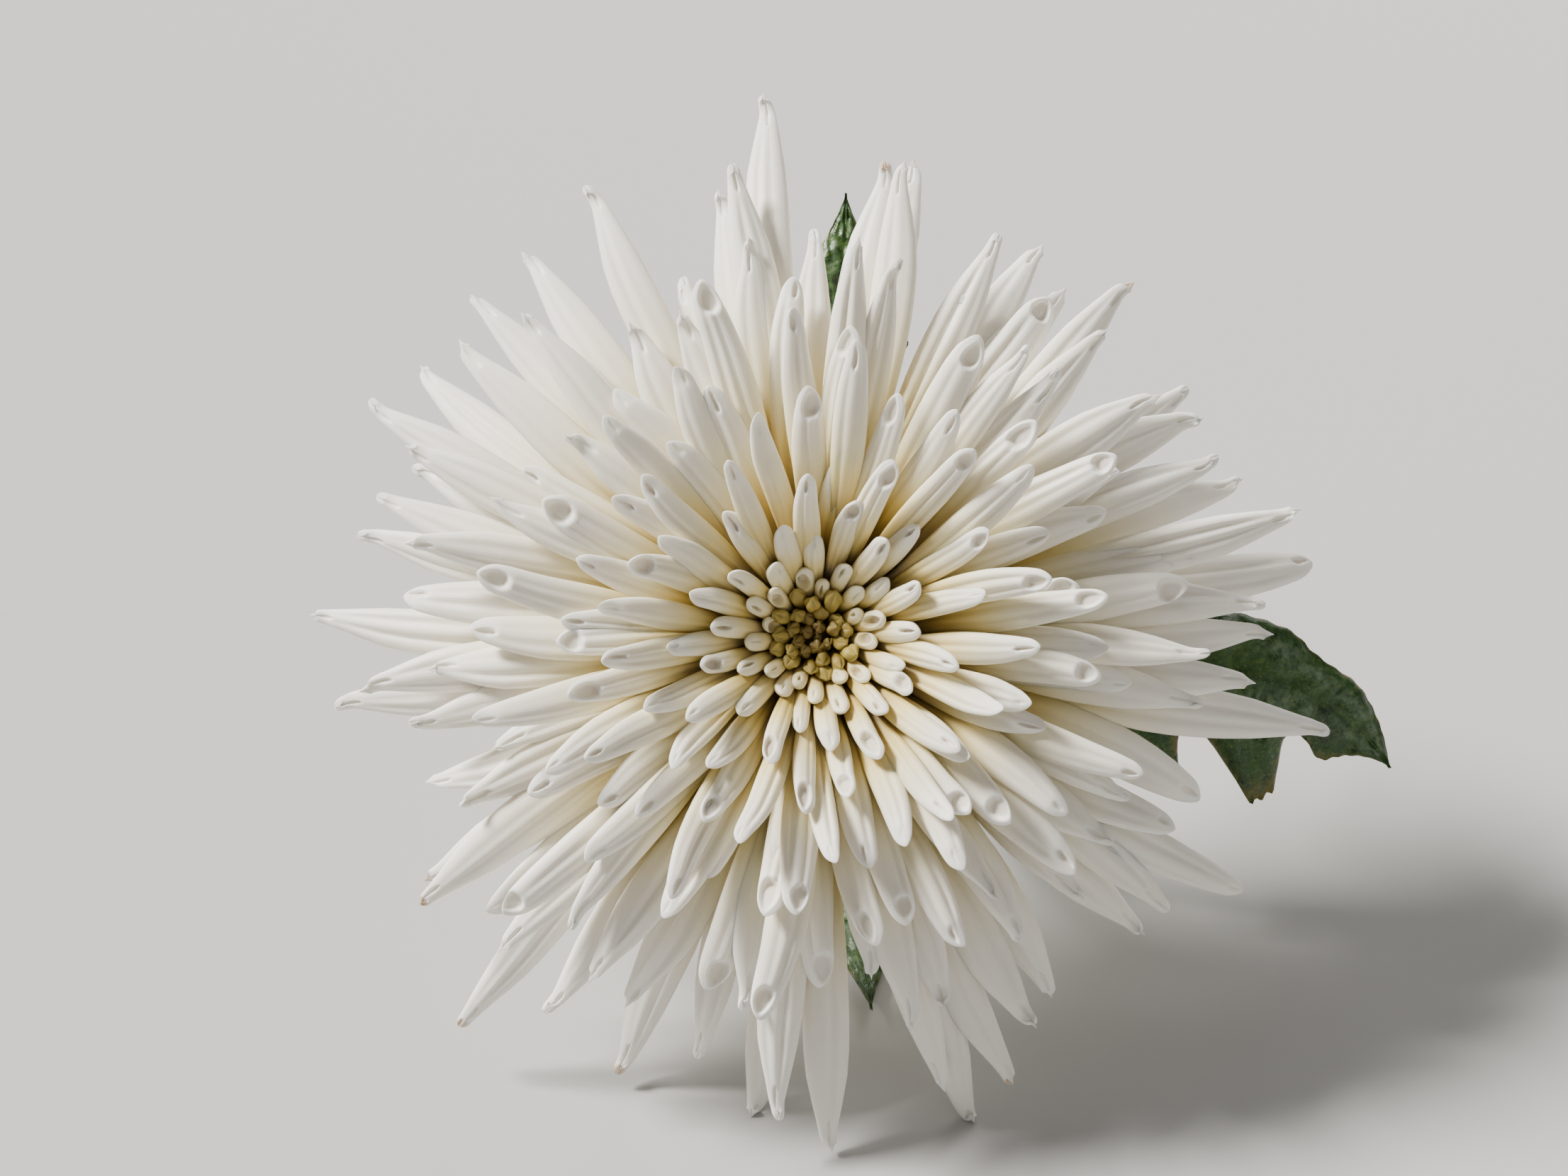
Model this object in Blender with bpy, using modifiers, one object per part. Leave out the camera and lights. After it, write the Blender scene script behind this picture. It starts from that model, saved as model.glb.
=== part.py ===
"""A white spider chrysanthemum, cut with a short stem and laid down.

The bloom rests on the tips of its lower florets and on the cut end of its stem, with its face
turned up and forward. Metres, +Z up. The origin is on the surface that the flower lies on, under
the middle of the flower's outline. The bloom has a frame of its own: Z along its axis, out of its
face, X to the right and Y up as someone sees it who looks straight into the face.
"""

import math
import random
from collections import namedtuple

import bmesh
import bpy
from mathutils import Matrix, Vector

MM = 0.001
FLOWER = "spider_chrysanthemum"
CUTTERS = "cutters"

# How the flower lies
FACE_TILT = math.radians(45)
HEAD_AT = Vector((-6.9, -20.5, 50.0)) * MM
SETTLE = 2.0 * MM
SEAT_GAP = 0.3 * MM

# Florets: how many there are, and how far round the dome they reach
FLORETS = 258
DISC_BUDS = 28
GOLDEN_ANGLE = math.radians(137.508)
RIM_TILT = math.radians(101)
SEED = 7

# Distance from the middle of the bloom to a floret's tip, by its share of the way to the rim
REACHES = (
    (0.0, 10.7), (0.06, 12.2), (0.10, 13.4), (0.16, 16.4), (0.22, 22.0),
    (0.33, 34.0), (0.55, 45.5), (0.80, 57.5), (1.0, 69.0),
)
# Width of a floret at its widest, by the same share
WIDTHS = ((0.0, 1.5), (0.10, 1.9), (0.16, 2.3), (0.24, 3.0), (0.40, 4.3), (0.70, 5.8), (1.0, 6.5))
# Directions round the bloom where the rim florets part, in degrees from +X
PARTINGS = (116, 70, 40, -17, -49, -84, -128, 172)
PARTING_PUSH = math.radians(2.6)
PARTING_REACH = math.radians(8.5)

# The hidden dome that the florets grow from
CORE_RADIUS = 8.6 * MM
CORE_HEIGHT = 9.0 * MM
CORE_TOP = 6.7 * MM
CORE_FOOT = -6.0 * MM
FLORET_ROOT = 6.4 * MM

# The small dome in the middle that the unopened buds grow from
DISC_RADIUS = 2.8 * MM
DISC_HEIGHT = 1.9 * MM
BUD_ROOT = 7.6 * MM
BUD_GATHER = 0.74

# The green cup under the florets
CUP_PROFILE = (
    (0.0, -6.3), (6.4, -6.3), (8.2, -4.9), (9.3, -3.7), (10.1, -4.3),
    (9.4, -7.6), (6.6, -11.0), (3.6, -13.2), (3.0, -14.2), (0.0, -14.2),
)
BRACTS_A_ROW = 11
BRACT_ROWS = ((9.2, -7.2, 12.8, -4.7), (7.2, -10.2, 11.4, -8.2))
BRACT_WIDTH = 5.0 * MM
BRACT_THICKNESS = 0.9 * MM

# The stem
STEM_START = 14.5 * MM
STEM_RADIUS = 3.0 * MM
STEM_RIDGES = 7
STEM_GROOVE = 0.86
STEM_LENGTH = 92.0 * MM
STEM_END_TILT = math.radians(5)
STEM_POINTS = 26
NODE_SWELLING = 1.16
CUT_SLANT = math.radians(32)

# Leaves: name, distance down the stem, direction round the bloom's axis in degrees, the point
# that the midrib bends towards and its tip, both in the bloom's frame, half width, and the share
# by which one half of the blade is the wider one half way up. All in mm
Leaf = namedtuple("Leaf", "name down turn bend tip half_width lopsided")
LEAVES = (
    Leaf("leaf_right", 9.0, 0, (64.0, 5.0, -10.5), (80.0, -18.5, -24.0), 16.0, 0.40),
    Leaf("leaf_upper_left", 21.0, 137, (-22.0, 21.0, -24.5), (-38.0, 37.0, -34.0), 14.0, 0.08),
    Leaf("leaf_lower", 31.0, -80, (5.0, -28.0, -47.0), (8.0, -51.0, -16.5), 13.0, -0.10),
    Leaf("leaf_upper", 43.0, 80, (4.3, 35.3, -37.0), (5.0, 63.0, -42.0), 12.0, 0.05),
    Leaf("leaf_back", 57.0, 205, (-23.3, 6.8, -66.8), (-44.0, 20.0, -72.0), 13.0, -0.06),
)
PETIOLE_SHARE = 0.22
PETIOLE_HALF_WIDTH = 1.1 * MM
PETIOLE_THICKNESS = 1.9 * MM
RIB_THICKNESS = 1.3 * MM
BLADE_THICKNESS = 0.7 * MM
VEIN_LEAN = math.radians(58)
LOBES = 3.0
LOBE_DEPTH = 0.45
LEAF_ROWS = 22
LEAF_COLUMNS = 4

Floret = namedtuple("Floret", "root tip share width thickness roll bow sweep")


def clear_scene():
    """Empties the scene, however the script was started."""
    for obj in list(bpy.data.objects):
        bpy.data.objects.remove(obj)


def collection_named(name):
    """A new collection under the scene's own."""
    made = bpy.data.collections.new(name)
    bpy.context.scene.collection.children.link(made)
    return made


def plain_material(name, colour, roughness):
    """A Principled material of one colour."""
    material = bpy.data.materials.new(name)
    material.use_nodes = True
    shader = material.node_tree.nodes["Principled BSDF"]
    shader.inputs["Base Color"].default_value = (*colour, 1)
    shader.inputs["Roughness"].default_value = roughness
    shader.inputs["Metallic"].default_value = 0
    return material


def smooth(low, high, value):
    """0 below low, 1 above high, and an easy curve between them."""
    x = min(1.0, max(0.0, (value - low) / (high - low)))
    return x * x * (3 - 2 * x)


def read_off(pairs, at):
    """The value at a place on a line through pairs of (place, value)."""
    for (low, first), (high, last) in zip(pairs, pairs[1:]):
        if at <= high:
            return first + (last - first) * (at - low) / (high - low)
    return pairs[-1][1]


def towards(azimuth, tilt):
    """The direction at a tilt from the bloom's axis, in the bloom's frame."""
    return Vector((math.sin(tilt) * math.cos(azimuth), math.sin(tilt) * math.sin(azimuth), math.cos(tilt)))


def bloom_to_world():
    """The matrix that lays the bloom down where it rests."""
    return Matrix.Translation(HEAD_AT) @ Matrix.Rotation(FACE_TILT, 4, "X")


def settled(height):
    """The height of something that would sink to the given height, laid on the surface."""
    if height >= SETTLE:
        return height
    if height <= -SETTLE:
        return 0.0
    return (height + SETTLE) ** 2 / (4 * SETTLE)


def loft(name, rings, material):
    """A closed mesh object through rings of points, each ring with the same count."""
    mesh = bmesh.new()
    rows = [[mesh.verts.new(point) for point in ring] for ring in rings]
    count = len(rows[0])
    for near, far in zip(rows, rows[1:]):
        for i in range(count):
            j = (i + 1) % count
            mesh.faces.new((near[i], near[j], far[j], far[i]))
    mesh.faces.new(list(reversed(rows[0])))
    mesh.faces.new(rows[-1])
    bmesh.ops.triangulate(mesh, faces=mesh.faces[:])
    bmesh.ops.recalc_face_normals(mesh, faces=mesh.faces[:])
    data = bpy.data.meshes.new(name)
    mesh.to_mesh(data)
    mesh.free()
    data.materials.append(material)
    return bpy.data.objects.new(name, data)


def frozen(obj):
    """The object's mesh as its modifiers leave it."""
    bpy.context.view_layer.update()
    graph = bpy.context.evaluated_depsgraph_get()
    return bpy.data.meshes.new_from_object(obj.evaluated_get(graph))


def keep_largest_body(data):
    """Drops loose scraps, and the skins of hollows that fusing has sealed."""
    mesh = bmesh.new()
    mesh.from_mesh(data)
    left = set(mesh.verts)
    bodies = []
    while left:
        start = left.pop()
        body, edge = {start}, [start]
        while edge:
            for link in edge.pop().link_edges:
                for vert in link.verts:
                    if vert in left:
                        left.remove(vert)
                        body.add(vert)
                        edge.append(vert)
        bodies.append(body)
    largest = max(bodies, key=len)
    spare = [vert for body in bodies if body is not largest for vert in body]
    bmesh.ops.delete(mesh, geom=spare, context="VERTS")
    bmesh.ops.triangulate(mesh, faces=mesh.faces[:])
    mesh.to_mesh(data)
    mesh.free()


def fuse(name, base, pieces, material, parts, solver="EXACT"):
    """Joins the pieces to the base, as one solid object in the flower's collection."""
    joined = collection_named(name + "_pieces")
    for piece in pieces:
        joined.objects.link(piece)
    parts.objects.link(base)
    union = base.modifiers.new("fuse", "BOOLEAN")
    union.operation = "UNION"
    union.operand_type = "COLLECTION"
    union.collection = joined
    union.solver = solver
    data = frozen(base)
    base.modifiers.clear()
    for piece in pieces:
        bpy.data.objects.remove(piece)
    bpy.data.collections.remove(joined)
    keep_largest_body(data)
    data.name = name
    data.materials.clear()
    data.materials.append(material)
    base.data = data
    base.name = name
    return base


def parted(azimuth, share):
    """A floret's direction at its tip, pushed away from the partings in the rim."""
    moved = azimuth
    for degrees in PARTINGS:
        off = math.remainder(azimuth - math.radians(degrees), 2 * math.pi)
        near = math.exp(-((off / PARTING_REACH) ** 2))
        moved += math.copysign(PARTING_PUSH * 2 * near * share**2.5, off)
    return moved


def floret(index):
    """The floret at a place in the spiral, from the middle out to the rim."""
    draw = random.Random(SEED * 1000 + index)
    share = (index + 0.5) / FLORETS
    tilt = math.acos(1 - share * (1 - math.cos(RIM_TILT)))
    azimuth = index * GOLDEN_ANGLE
    opened = smooth(0.10, 0.35, share)
    loose = math.radians(0.6 + 3.0 * opened)
    tip_azimuth = parted(azimuth, share) + draw.uniform(-loose, loose) / max(0.5, math.sin(tilt))
    tip_tilt = tilt + draw.uniform(-loose, loose)
    reach = read_off(REACHES, share) * MM * (1 + draw.uniform(-0.14, 0.08) * (0.3 + 0.7 * opened))
    width = read_off(WIDTHS, share) * MM * (1 + draw.uniform(-0.10, 0.10))
    if index < DISC_BUDS:
        root = towards(azimuth, tilt * BUD_GATHER) * BUD_ROOT
    else:
        root = towards(azimuth, tilt) * FLORET_ROOT
    return Floret(
        root=root,
        tip=towards(tip_azimuth, tip_tilt) * reach,
        share=share,
        width=width,
        thickness=width * (0.95 - 0.42 * opened),
        roll=math.radians(draw.uniform(-22, 22)) * opened,
        bow=0.035 + 0.075 * share + draw.uniform(-0.02, 0.03) * opened,
        sweep=draw.uniform(-0.035, 0.035) * opened,
    )


def floret_line(shape, along):
    """The middle of the floret's tube, from 0 at its root to 1 at its tip."""
    run = shape.tip - shape.root
    side = Vector((0, 0, 1)).cross(run)
    if side.length < 1e-9:
        side = Vector((0, 1, 0))
    side.normalize()
    rise = run.cross(side).normalized()
    swell = math.sin(math.pi * along) * run.length
    return shape.root + run * along + (rise * shape.bow + side * shape.sweep) * swell


def floret_girth(shape, along):
    """The share of its full width that a floret has along its length."""
    opened = smooth(0.10, 0.35, shape.share)
    root = 0.62 - 0.42 * opened
    belly = 0.75 - 0.10 * opened
    tip = 0.62 - 0.26 * opened
    grown = root + (1 - root) * smooth(0, belly, along)
    closing = max(0, (along - belly) / (1 - belly)) ** 2.4
    return grown * (1 - (1 - tip) * closing)


def floret_rings(shape, stations, sides):
    """Rings of points round the floret, laid on the surface where it reaches it."""
    place = bloom_to_world()
    rings = []
    for along in stations:
        middle = floret_line(shape, along)
        step = 0.01
        ahead, behind = floret_line(shape, min(1, along + step)), floret_line(shape, max(0, along - step))
        heading = (ahead - behind).normalized()
        side = Vector((0, 0, 1)).cross(heading)
        if side.length < 1e-9:
            side = Vector((0, 1, 0))
        side.normalize()
        side = Matrix.Rotation(shape.roll, 3, heading) @ side
        up = heading.cross(side)
        girth = floret_girth(shape, along)
        ring = []
        for i in range(sides):
            turn = 2 * math.pi * i / sides
            across = side * math.cos(turn) * shape.width / 2 * girth
            out = up * math.sin(turn) * shape.thickness / 2 * girth
            ring.append(place @ (middle + across + out))
        low = min(point.z for point in ring)
        lift = Vector((0, 0, settled(low) - low))
        rings.append([point + lift for point in ring])
    return rings


def dome(name, radius, height, top, foot, centre, material):
    """A squat ball cut flat at its top and its foot, in the bloom's frame."""
    mesh = bmesh.new()
    bmesh.ops.create_uvsphere(mesh, u_segments=12, v_segments=8, radius=1)
    bmesh.ops.transform(mesh, verts=mesh.verts[:], matrix=Matrix.Diagonal((radius, radius, height, 1)))
    for level, facing in ((top, 1), (foot, -1)):
        cut = bmesh.ops.bisect_plane(
            mesh, geom=mesh.verts[:] + mesh.edges[:] + mesh.faces[:],
            plane_co=(0, 0, level), plane_no=(0, 0, facing), clear_outer=True,
        )
        rim = [item for item in cut["geom_cut"] if isinstance(item, bmesh.types.BMEdge)]
        if rim:
            bmesh.ops.edgeloop_fill(mesh, edges=rim)
    raised = bloom_to_world() @ Matrix.Translation((0, 0, centre))
    bmesh.ops.transform(mesh, verts=mesh.verts[:], matrix=raised)
    bmesh.ops.recalc_face_normals(mesh, faces=mesh.faces[:])
    data = bpy.data.meshes.new(name)
    mesh.to_mesh(data)
    mesh.free()
    data.materials.append(material)
    return bpy.data.objects.new(name, data)


def make_rays(parts):
    """The opened florets, fused to the hidden dome that they grow from."""
    material = plain_material("floret_white", (0.86, 0.83, 0.77), 0.5)
    core = dome("core", CORE_RADIUS, CORE_HEIGHT, CORE_TOP, CORE_FOOT, 0, material)
    pieces = []
    for index in range(DISC_BUDS, FLORETS):
        shape = floret(index)
        stations = (0, 0.44, 0.86, 1) if shape.share > 0.34 else (0, 0.8, 1)
        pieces.append(loft(f"floret_{index}", floret_rings(shape, stations, 4), material))
    return fuse("ray_florets", core, pieces, material, parts)


def make_disc(parts):
    """The small unopened buds in the middle, on a dome of their own."""
    material = plain_material("bud_yellow_green", (0.62, 0.58, 0.20), 0.55)
    base = dome("disc", DISC_RADIUS, DISC_HEIGHT, DISC_HEIGHT, 0, CORE_TOP + SEAT_GAP, material)
    pieces = [
        loft(f"bud_{index}", floret_rings(floret(index), (0, 0.8, 1), 5), material)
        for index in range(DISC_BUDS)
    ]
    return fuse("disc_buds", base, pieces, material, parts, solver="MANIFOLD")


def turned(name, profile, steps, material):
    """A turned solid, from a profile that runs from its top to its foot along its outer side."""
    mesh = bmesh.new()
    points = [mesh.verts.new((across * MM, 0, height * MM)) for across, height in profile]
    for upper, lower in zip(points, points[1:]):
        mesh.edges.new((upper, lower))
    data = bpy.data.meshes.new(name)
    mesh.to_mesh(data)
    mesh.free()
    data.materials.append(material)
    obj = bpy.data.objects.new(name, data)
    screw = obj.modifiers.new("turn", "SCREW")
    screw.steps = screw.render_steps = steps
    screw.use_merge_vertices = True
    screw.merge_threshold = 0.00001
    return obj


def bract_rings(row, index):
    """Rings round one pointed bract, which hugs the cup and spreads at its tip."""
    root_out, root_up, tip_out, tip_up = (value * MM for value in BRACT_ROWS[row])
    azimuth = 2 * math.pi * (index + 0.5 * (row % 2)) / BRACTS_A_ROW
    rings = []
    for along, wide in ((0, 0.7), (0.55, 1.0), (1, 0.22)):
        out = root_out + (tip_out - root_out) * along - 1.6 * MM * (1 - along)
        up = root_up + (tip_up - root_up) * along
        half, thick = BRACT_WIDTH / 2 * wide, BRACT_THICKNESS / 2
        facing = Vector((math.cos(azimuth), math.sin(azimuth), 0))
        side = Vector((-facing.y, facing.x, 0))
        middle = facing * out + Vector((0, 0, up))
        face = (Vector((0, 0, 1)) * (tip_out - root_out) - facing * (tip_up - root_up)).normalized()
        side, face = side * half, face * thick
        rings.append([middle + side, middle + face, middle - side, middle - face])
    place = bloom_to_world()
    return [[place @ point for point in ring] for ring in rings]


def make_calyx(parts):
    """The green cup that holds the florets, with its rows of bracts."""
    material = plain_material("calyx_green", (0.16, 0.27, 0.08), 0.6)
    cup = turned("cup", CUP_PROFILE, 22, material)
    parts.objects.link(cup)
    data = frozen(cup)
    bpy.data.objects.remove(cup)
    data.transform(bloom_to_world())
    cup = bpy.data.objects.new("cup", data)
    pieces = [
        loft(f"bract_{row}_{index}", bract_rings(row, index), material)
        for row in range(len(BRACT_ROWS))
        for index in range(BRACTS_A_ROW)
    ]
    return fuse("calyx", cup, pieces, material, parts)


def stem_angle(down):
    """How steeply the stem falls, a length down from the cup."""
    start = math.pi / 2 - FACE_TILT
    return start + (STEM_END_TILT - start) * smooth(-0.05, 1.2, down / STEM_LENGTH)


def stem_point(down):
    """The middle of the stem, a length down from the cup, and its heading."""
    steps = 60
    place = bloom_to_world() @ Vector((0, 0, -STEM_START))
    for i in range(steps):
        angle = stem_angle(down * (i + 0.5) / steps)
        place += Vector((0, math.cos(angle), -math.sin(angle))) * down / steps
    angle = stem_angle(down)
    place.z = settled(place.z - STEM_RADIUS) + STEM_RADIUS
    return place, Vector((0, math.cos(angle), -math.sin(angle)))


def make_stem(parts):
    """The ribbed stem, thicker at its nodes and cut slanting at its end."""
    material = plain_material("stem_green", (0.20, 0.33, 0.10), 0.55)
    cutters = collection_named(CUTTERS)
    cutters.hide_render = True
    outline = bpy.data.curves.new("stem_outline", "CURVE")
    ridge_line = outline.splines.new("POLY")
    ridge_line.points.add(2 * STEM_RIDGES - 1)
    ridge_line.use_cyclic_u = True
    for i, point in enumerate(ridge_line.points):
        turn = math.pi * i / STEM_RIDGES
        out = STEM_RADIUS * (1 if i % 2 == 0 else STEM_GROOVE)
        point.co = (out * math.cos(turn), out * math.sin(turn), 0, 1)
    guide = bpy.data.objects.new("stem_outline", outline)
    guide.hide_render = True
    guide.display_type = "WIRE"
    cutters.objects.link(guide)

    line = bpy.data.curves.new("stem", "CURVE")
    line.dimensions = "3D"
    line.bevel_mode = "OBJECT"
    line.bevel_object = guide
    line.use_fill_caps = True
    spline = line.splines.new("POLY")
    spline.points.add(STEM_POINTS - 1)
    for i, point in enumerate(spline.points):
        down = STEM_LENGTH * i / (STEM_POINTS - 1)
        point.co = (*stem_point(down)[0], 1)
        nearest = min(abs(down - leaf.down * MM) for leaf in LEAVES)
        point.radius = 1 + (NODE_SWELLING - 1) * (1 - smooth(0, 4.5 * MM, nearest))
    tube = bpy.data.objects.new("stem_tube", line)
    parts.objects.link(tube)
    data = frozen(tube)
    bpy.data.objects.remove(tube)

    end, heading = stem_point(STEM_LENGTH - 3 * MM)
    slant = Matrix.Rotation(CUT_SLANT, 3, "X") @ heading
    mesh = bmesh.new()
    mesh.from_mesh(data)
    bmesh.ops.remove_doubles(mesh, verts=mesh.verts[:], dist=0.01 * MM)
    cut = bmesh.ops.bisect_plane(
        mesh, geom=mesh.verts[:] + mesh.edges[:] + mesh.faces[:],
        plane_co=end, plane_no=slant, clear_outer=True,
    )
    bmesh.ops.edgeloop_fill(
        mesh, edges=[item for item in cut["geom_cut"] if isinstance(item, bmesh.types.BMEdge)]
    )
    bmesh.ops.recalc_face_normals(mesh, faces=mesh.faces[:])
    mesh.to_mesh(data)
    mesh.free()
    data.materials.clear()
    data.materials.append(material)
    stem = bpy.data.objects.new("stem", data)
    parts.objects.link(stem)
    return stem


def leaf_line(leaf, along):
    """The leaf's midrib and petiole in the world, from 0 at the stem to 1 at the tip."""
    middle, heading = stem_point(leaf.down * MM)
    turn = math.radians(leaf.turn)
    out = Vector((math.cos(turn), math.sin(turn), 0))
    out = bloom_to_world().to_3x3() @ out
    out = (out - heading * out.dot(heading)).normalized()
    start = middle + out * (STEM_RADIUS * NODE_SWELLING + SEAT_GAP)
    bend = bloom_to_world() @ (Vector(leaf.bend) * MM)
    tip = bloom_to_world() @ (Vector(leaf.tip) * MM)
    return start * (1 - along) ** 2 + bend * 2 * along * (1 - along) + tip * along**2


def blade_reach(leaf, up_blade):
    """How far the blade reaches to each side, by the share of the way up the blade."""
    if not 0 < up_blade < 1:
        return 0
    body = math.sin(math.pi * up_blade**0.5) ** 1.1
    wave = smooth(0, 0.85, 0.5 - 0.5 * math.cos(2 * math.pi * (up_blade**0.75 * LOBES - 0.08)))
    cut = smooth(0.02, 0.10, up_blade) * (1 - smooth(0.60, 0.75, up_blade))
    return leaf.half_width * MM * body * (1 - LOBE_DEPTH * (1 - wave) * cut)


def leaf_rows(leaf, rows, columns):
    """Rows of (upper point, lower point) across the leaf, from its petiole to its tip."""
    made = []
    for i in range(rows + 1):
        along = i / rows
        step = 0.01
        middle = leaf_line(leaf, along)
        ahead, behind = leaf_line(leaf, min(1, along + step)), leaf_line(leaf, max(0, along - step))
        heading = (ahead - behind).normalized()
        face = bloom_to_world().to_3x3() @ Vector((0, 0, 1))
        side = heading.cross(face).normalized()
        face = side.cross(heading)
        up_blade = (along - PETIOLE_SHARE) / (1 - PETIOLE_SHARE)
        reach = max(blade_reach(leaf, up_blade), PETIOLE_HALF_WIDTH * (1 - smooth(0.7, 1, along) * 0.55))
        blade = smooth(-0.02, 0.10, up_blade)
        rib = PETIOLE_THICKNESS + (RIB_THICKNESS - PETIOLE_THICKNESS) * smooth(0, PETIOLE_SHARE, along)
        rib += (BLADE_THICKNESS - RIB_THICKNESS) * smooth(0.5, 1, along)
        row = []
        for j in range(columns + 1):
            across = 2 * j / columns - 1
            wide = reach * (1 + leaf.lopsided * across * 2 * (1 - max(0, up_blade)))
            forward = heading * abs(across) * wide * math.cos(VEIN_LEAN) * blade
            sideways = side * across * wide * (1 - blade * (1 - math.sin(VEIN_LEAN)))
            droop = face * (0.16 * abs(across) - 0.30 * across**2) * wide * blade
            point = middle + forward + sideways + droop
            thick = rib + (BLADE_THICKNESS - rib) * blade * smooth(0, 0.55, abs(across))
            point.z = settled(point.z - thick) + thick
            row.append((point + face * thick / 2, point - face * thick / 2))
        made.append(row)
    return made


def make_leaf(leaf, material, parts):
    """One lobed leaf on its petiole, a thin arched blade."""
    rows = leaf_rows(leaf, LEAF_ROWS, LEAF_COLUMNS)
    mesh = bmesh.new()
    upper = [[mesh.verts.new(pair[0]) for pair in row] for row in rows]
    lower = [[mesh.verts.new(pair[1]) for pair in row] for row in rows]
    last = LEAF_COLUMNS
    for i in range(LEAF_ROWS):
        for j in range(last):
            a, b, c, d = (i, j), (i, j + 1), (i + 1, j + 1), (i + 1, j)
            halves = ((a, b, c), (a, c, d)) if j < last / 2 else ((a, b, d), (b, c, d))
            for half in halves:
                mesh.faces.new([upper[r][k] for r, k in half])
                mesh.faces.new([lower[r][k] for r, k in reversed(half)])
        for j in (0, last):
            mesh.faces.new((upper[i][j], upper[i + 1][j], lower[i + 1][j], lower[i][j]))
    for i in (0, LEAF_ROWS):
        for j in range(last):
            mesh.faces.new((upper[i][j], upper[i][j + 1], lower[i][j + 1], lower[i][j]))
    bmesh.ops.triangulate(mesh, faces=[face for face in mesh.faces if len(face.verts) > 3])
    bmesh.ops.recalc_face_normals(mesh, faces=mesh.faces[:])
    data = bpy.data.meshes.new(leaf.name)
    mesh.to_mesh(data)
    mesh.free()
    data.materials.append(material)
    obj = bpy.data.objects.new(leaf.name, data)
    parts.objects.link(obj)
    return obj


def main():
    """Builds the flower."""
    clear_scene()
    parts = collection_named(FLOWER)
    make_rays(parts)
    make_disc(parts)
    make_calyx(parts)
    make_stem(parts)
    leaf_green = plain_material("leaf_green", (0.035, 0.10, 0.03), 0.45)
    for leaf in LEAVES:
        make_leaf(leaf, leaf_green, parts)


main()
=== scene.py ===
"""The dressed model of a cut white spider chrysanthemum, laid down on a pale surface.

The classes below build the pieces of the flower and dress them. The places of the florets, the stem
and the leaves follow the same rules as the solid model, so every piece keeps the form of its solid.
Lengths are in metres. The bloom has a frame of its own: Z out of its face along its axis, X to
the right and Y up as someone sees it who looks straight into the face.
"""

import logging
import math
import random
from dataclasses import dataclass, field
from enum import Enum
from typing import ClassVar

import bpy
import numpy as np
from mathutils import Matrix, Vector


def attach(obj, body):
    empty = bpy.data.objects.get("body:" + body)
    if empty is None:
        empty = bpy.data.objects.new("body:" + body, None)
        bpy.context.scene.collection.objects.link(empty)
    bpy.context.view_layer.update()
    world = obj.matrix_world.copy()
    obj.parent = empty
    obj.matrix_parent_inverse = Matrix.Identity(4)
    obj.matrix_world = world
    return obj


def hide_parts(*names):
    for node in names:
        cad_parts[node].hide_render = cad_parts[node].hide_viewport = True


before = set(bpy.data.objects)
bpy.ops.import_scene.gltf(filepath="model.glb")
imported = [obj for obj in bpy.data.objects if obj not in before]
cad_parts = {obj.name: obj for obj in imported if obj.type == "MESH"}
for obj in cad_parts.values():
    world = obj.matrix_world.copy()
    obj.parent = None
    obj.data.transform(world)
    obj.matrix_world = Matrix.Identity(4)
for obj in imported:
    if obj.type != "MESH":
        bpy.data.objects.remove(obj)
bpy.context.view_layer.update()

LOG = logging.getLogger("flower")
MM = 0.001
UP = np.array((0.0, 0.0, 1.0))
BODY = "root"
BAKE_MAP = "OFBake"

Array = np.ndarray
Values = Array | float
Tube = tuple[Array, dict[str, Values]]
Material, Node, Tree = bpy.types.Material, bpy.types.Node, bpy.types.NodeTree
Socket = bpy.types.NodeSocket
Feed = Socket | float | tuple[float, ...]
Stops = tuple[tuple[float, tuple[float, float, float]], ...]


def smooth(low: float, high: float, value: Values) -> Values:
    """Gives 0 below low, 1 above high, and a smooth curve between them."""
    x = np.clip((value - low) / (high - low), 0.0, 1.0)
    return x * x * (3 - 2 * x)


def bell(off: Values, width: Values) -> Values:
    """1 where nothing is off, and less over a width to each side."""
    return np.exp(-((off / width) ** 2))


def unit(vectors: Array) -> Array:
    """Vectors of length 1, along the last axis."""
    return vectors / np.linalg.norm(vectors, axis=-1, keepdims=True)


def around(sides: int) -> Array:
    """Even angles round a tube, as a row."""
    return np.linspace(0, 2 * math.pi, sides, endpoint=False)[None, :]


def read_off(pairs: tuple[tuple[float, float], ...], at: float) -> float:
    """The value at a place on the line through (place, value) pairs."""
    return float(np.interp(at, [p[0] for p in pairs], [p[1] for p in pairs]))


def swept(middle: Array, *moves: tuple[Array, Array]) -> Array:
    """Rings of points about a middle line.

    Args:
        middle: the line's points.
        moves: directions, one in all or one for each point, with lengths of shape (rings, sides).

    Returns:
        Points of shape (rings, sides, 3).
    """
    rings = middle[:, None, :]
    for direction, length in moves:
        rings = rings + np.atleast_2d(direction)[:, None, :] * length[..., None]
    return rings


def stand(name: str, data: bpy.types.ID) -> bpy.types.Object:
    """Puts an object into the scene.

    Args:
        name: its name.
        data: its mesh, lamp or camera.

    Returns:
        The new object.
    """
    made = bpy.data.objects.new(name, data)
    bpy.context.scene.collection.objects.link(made)
    return made


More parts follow.
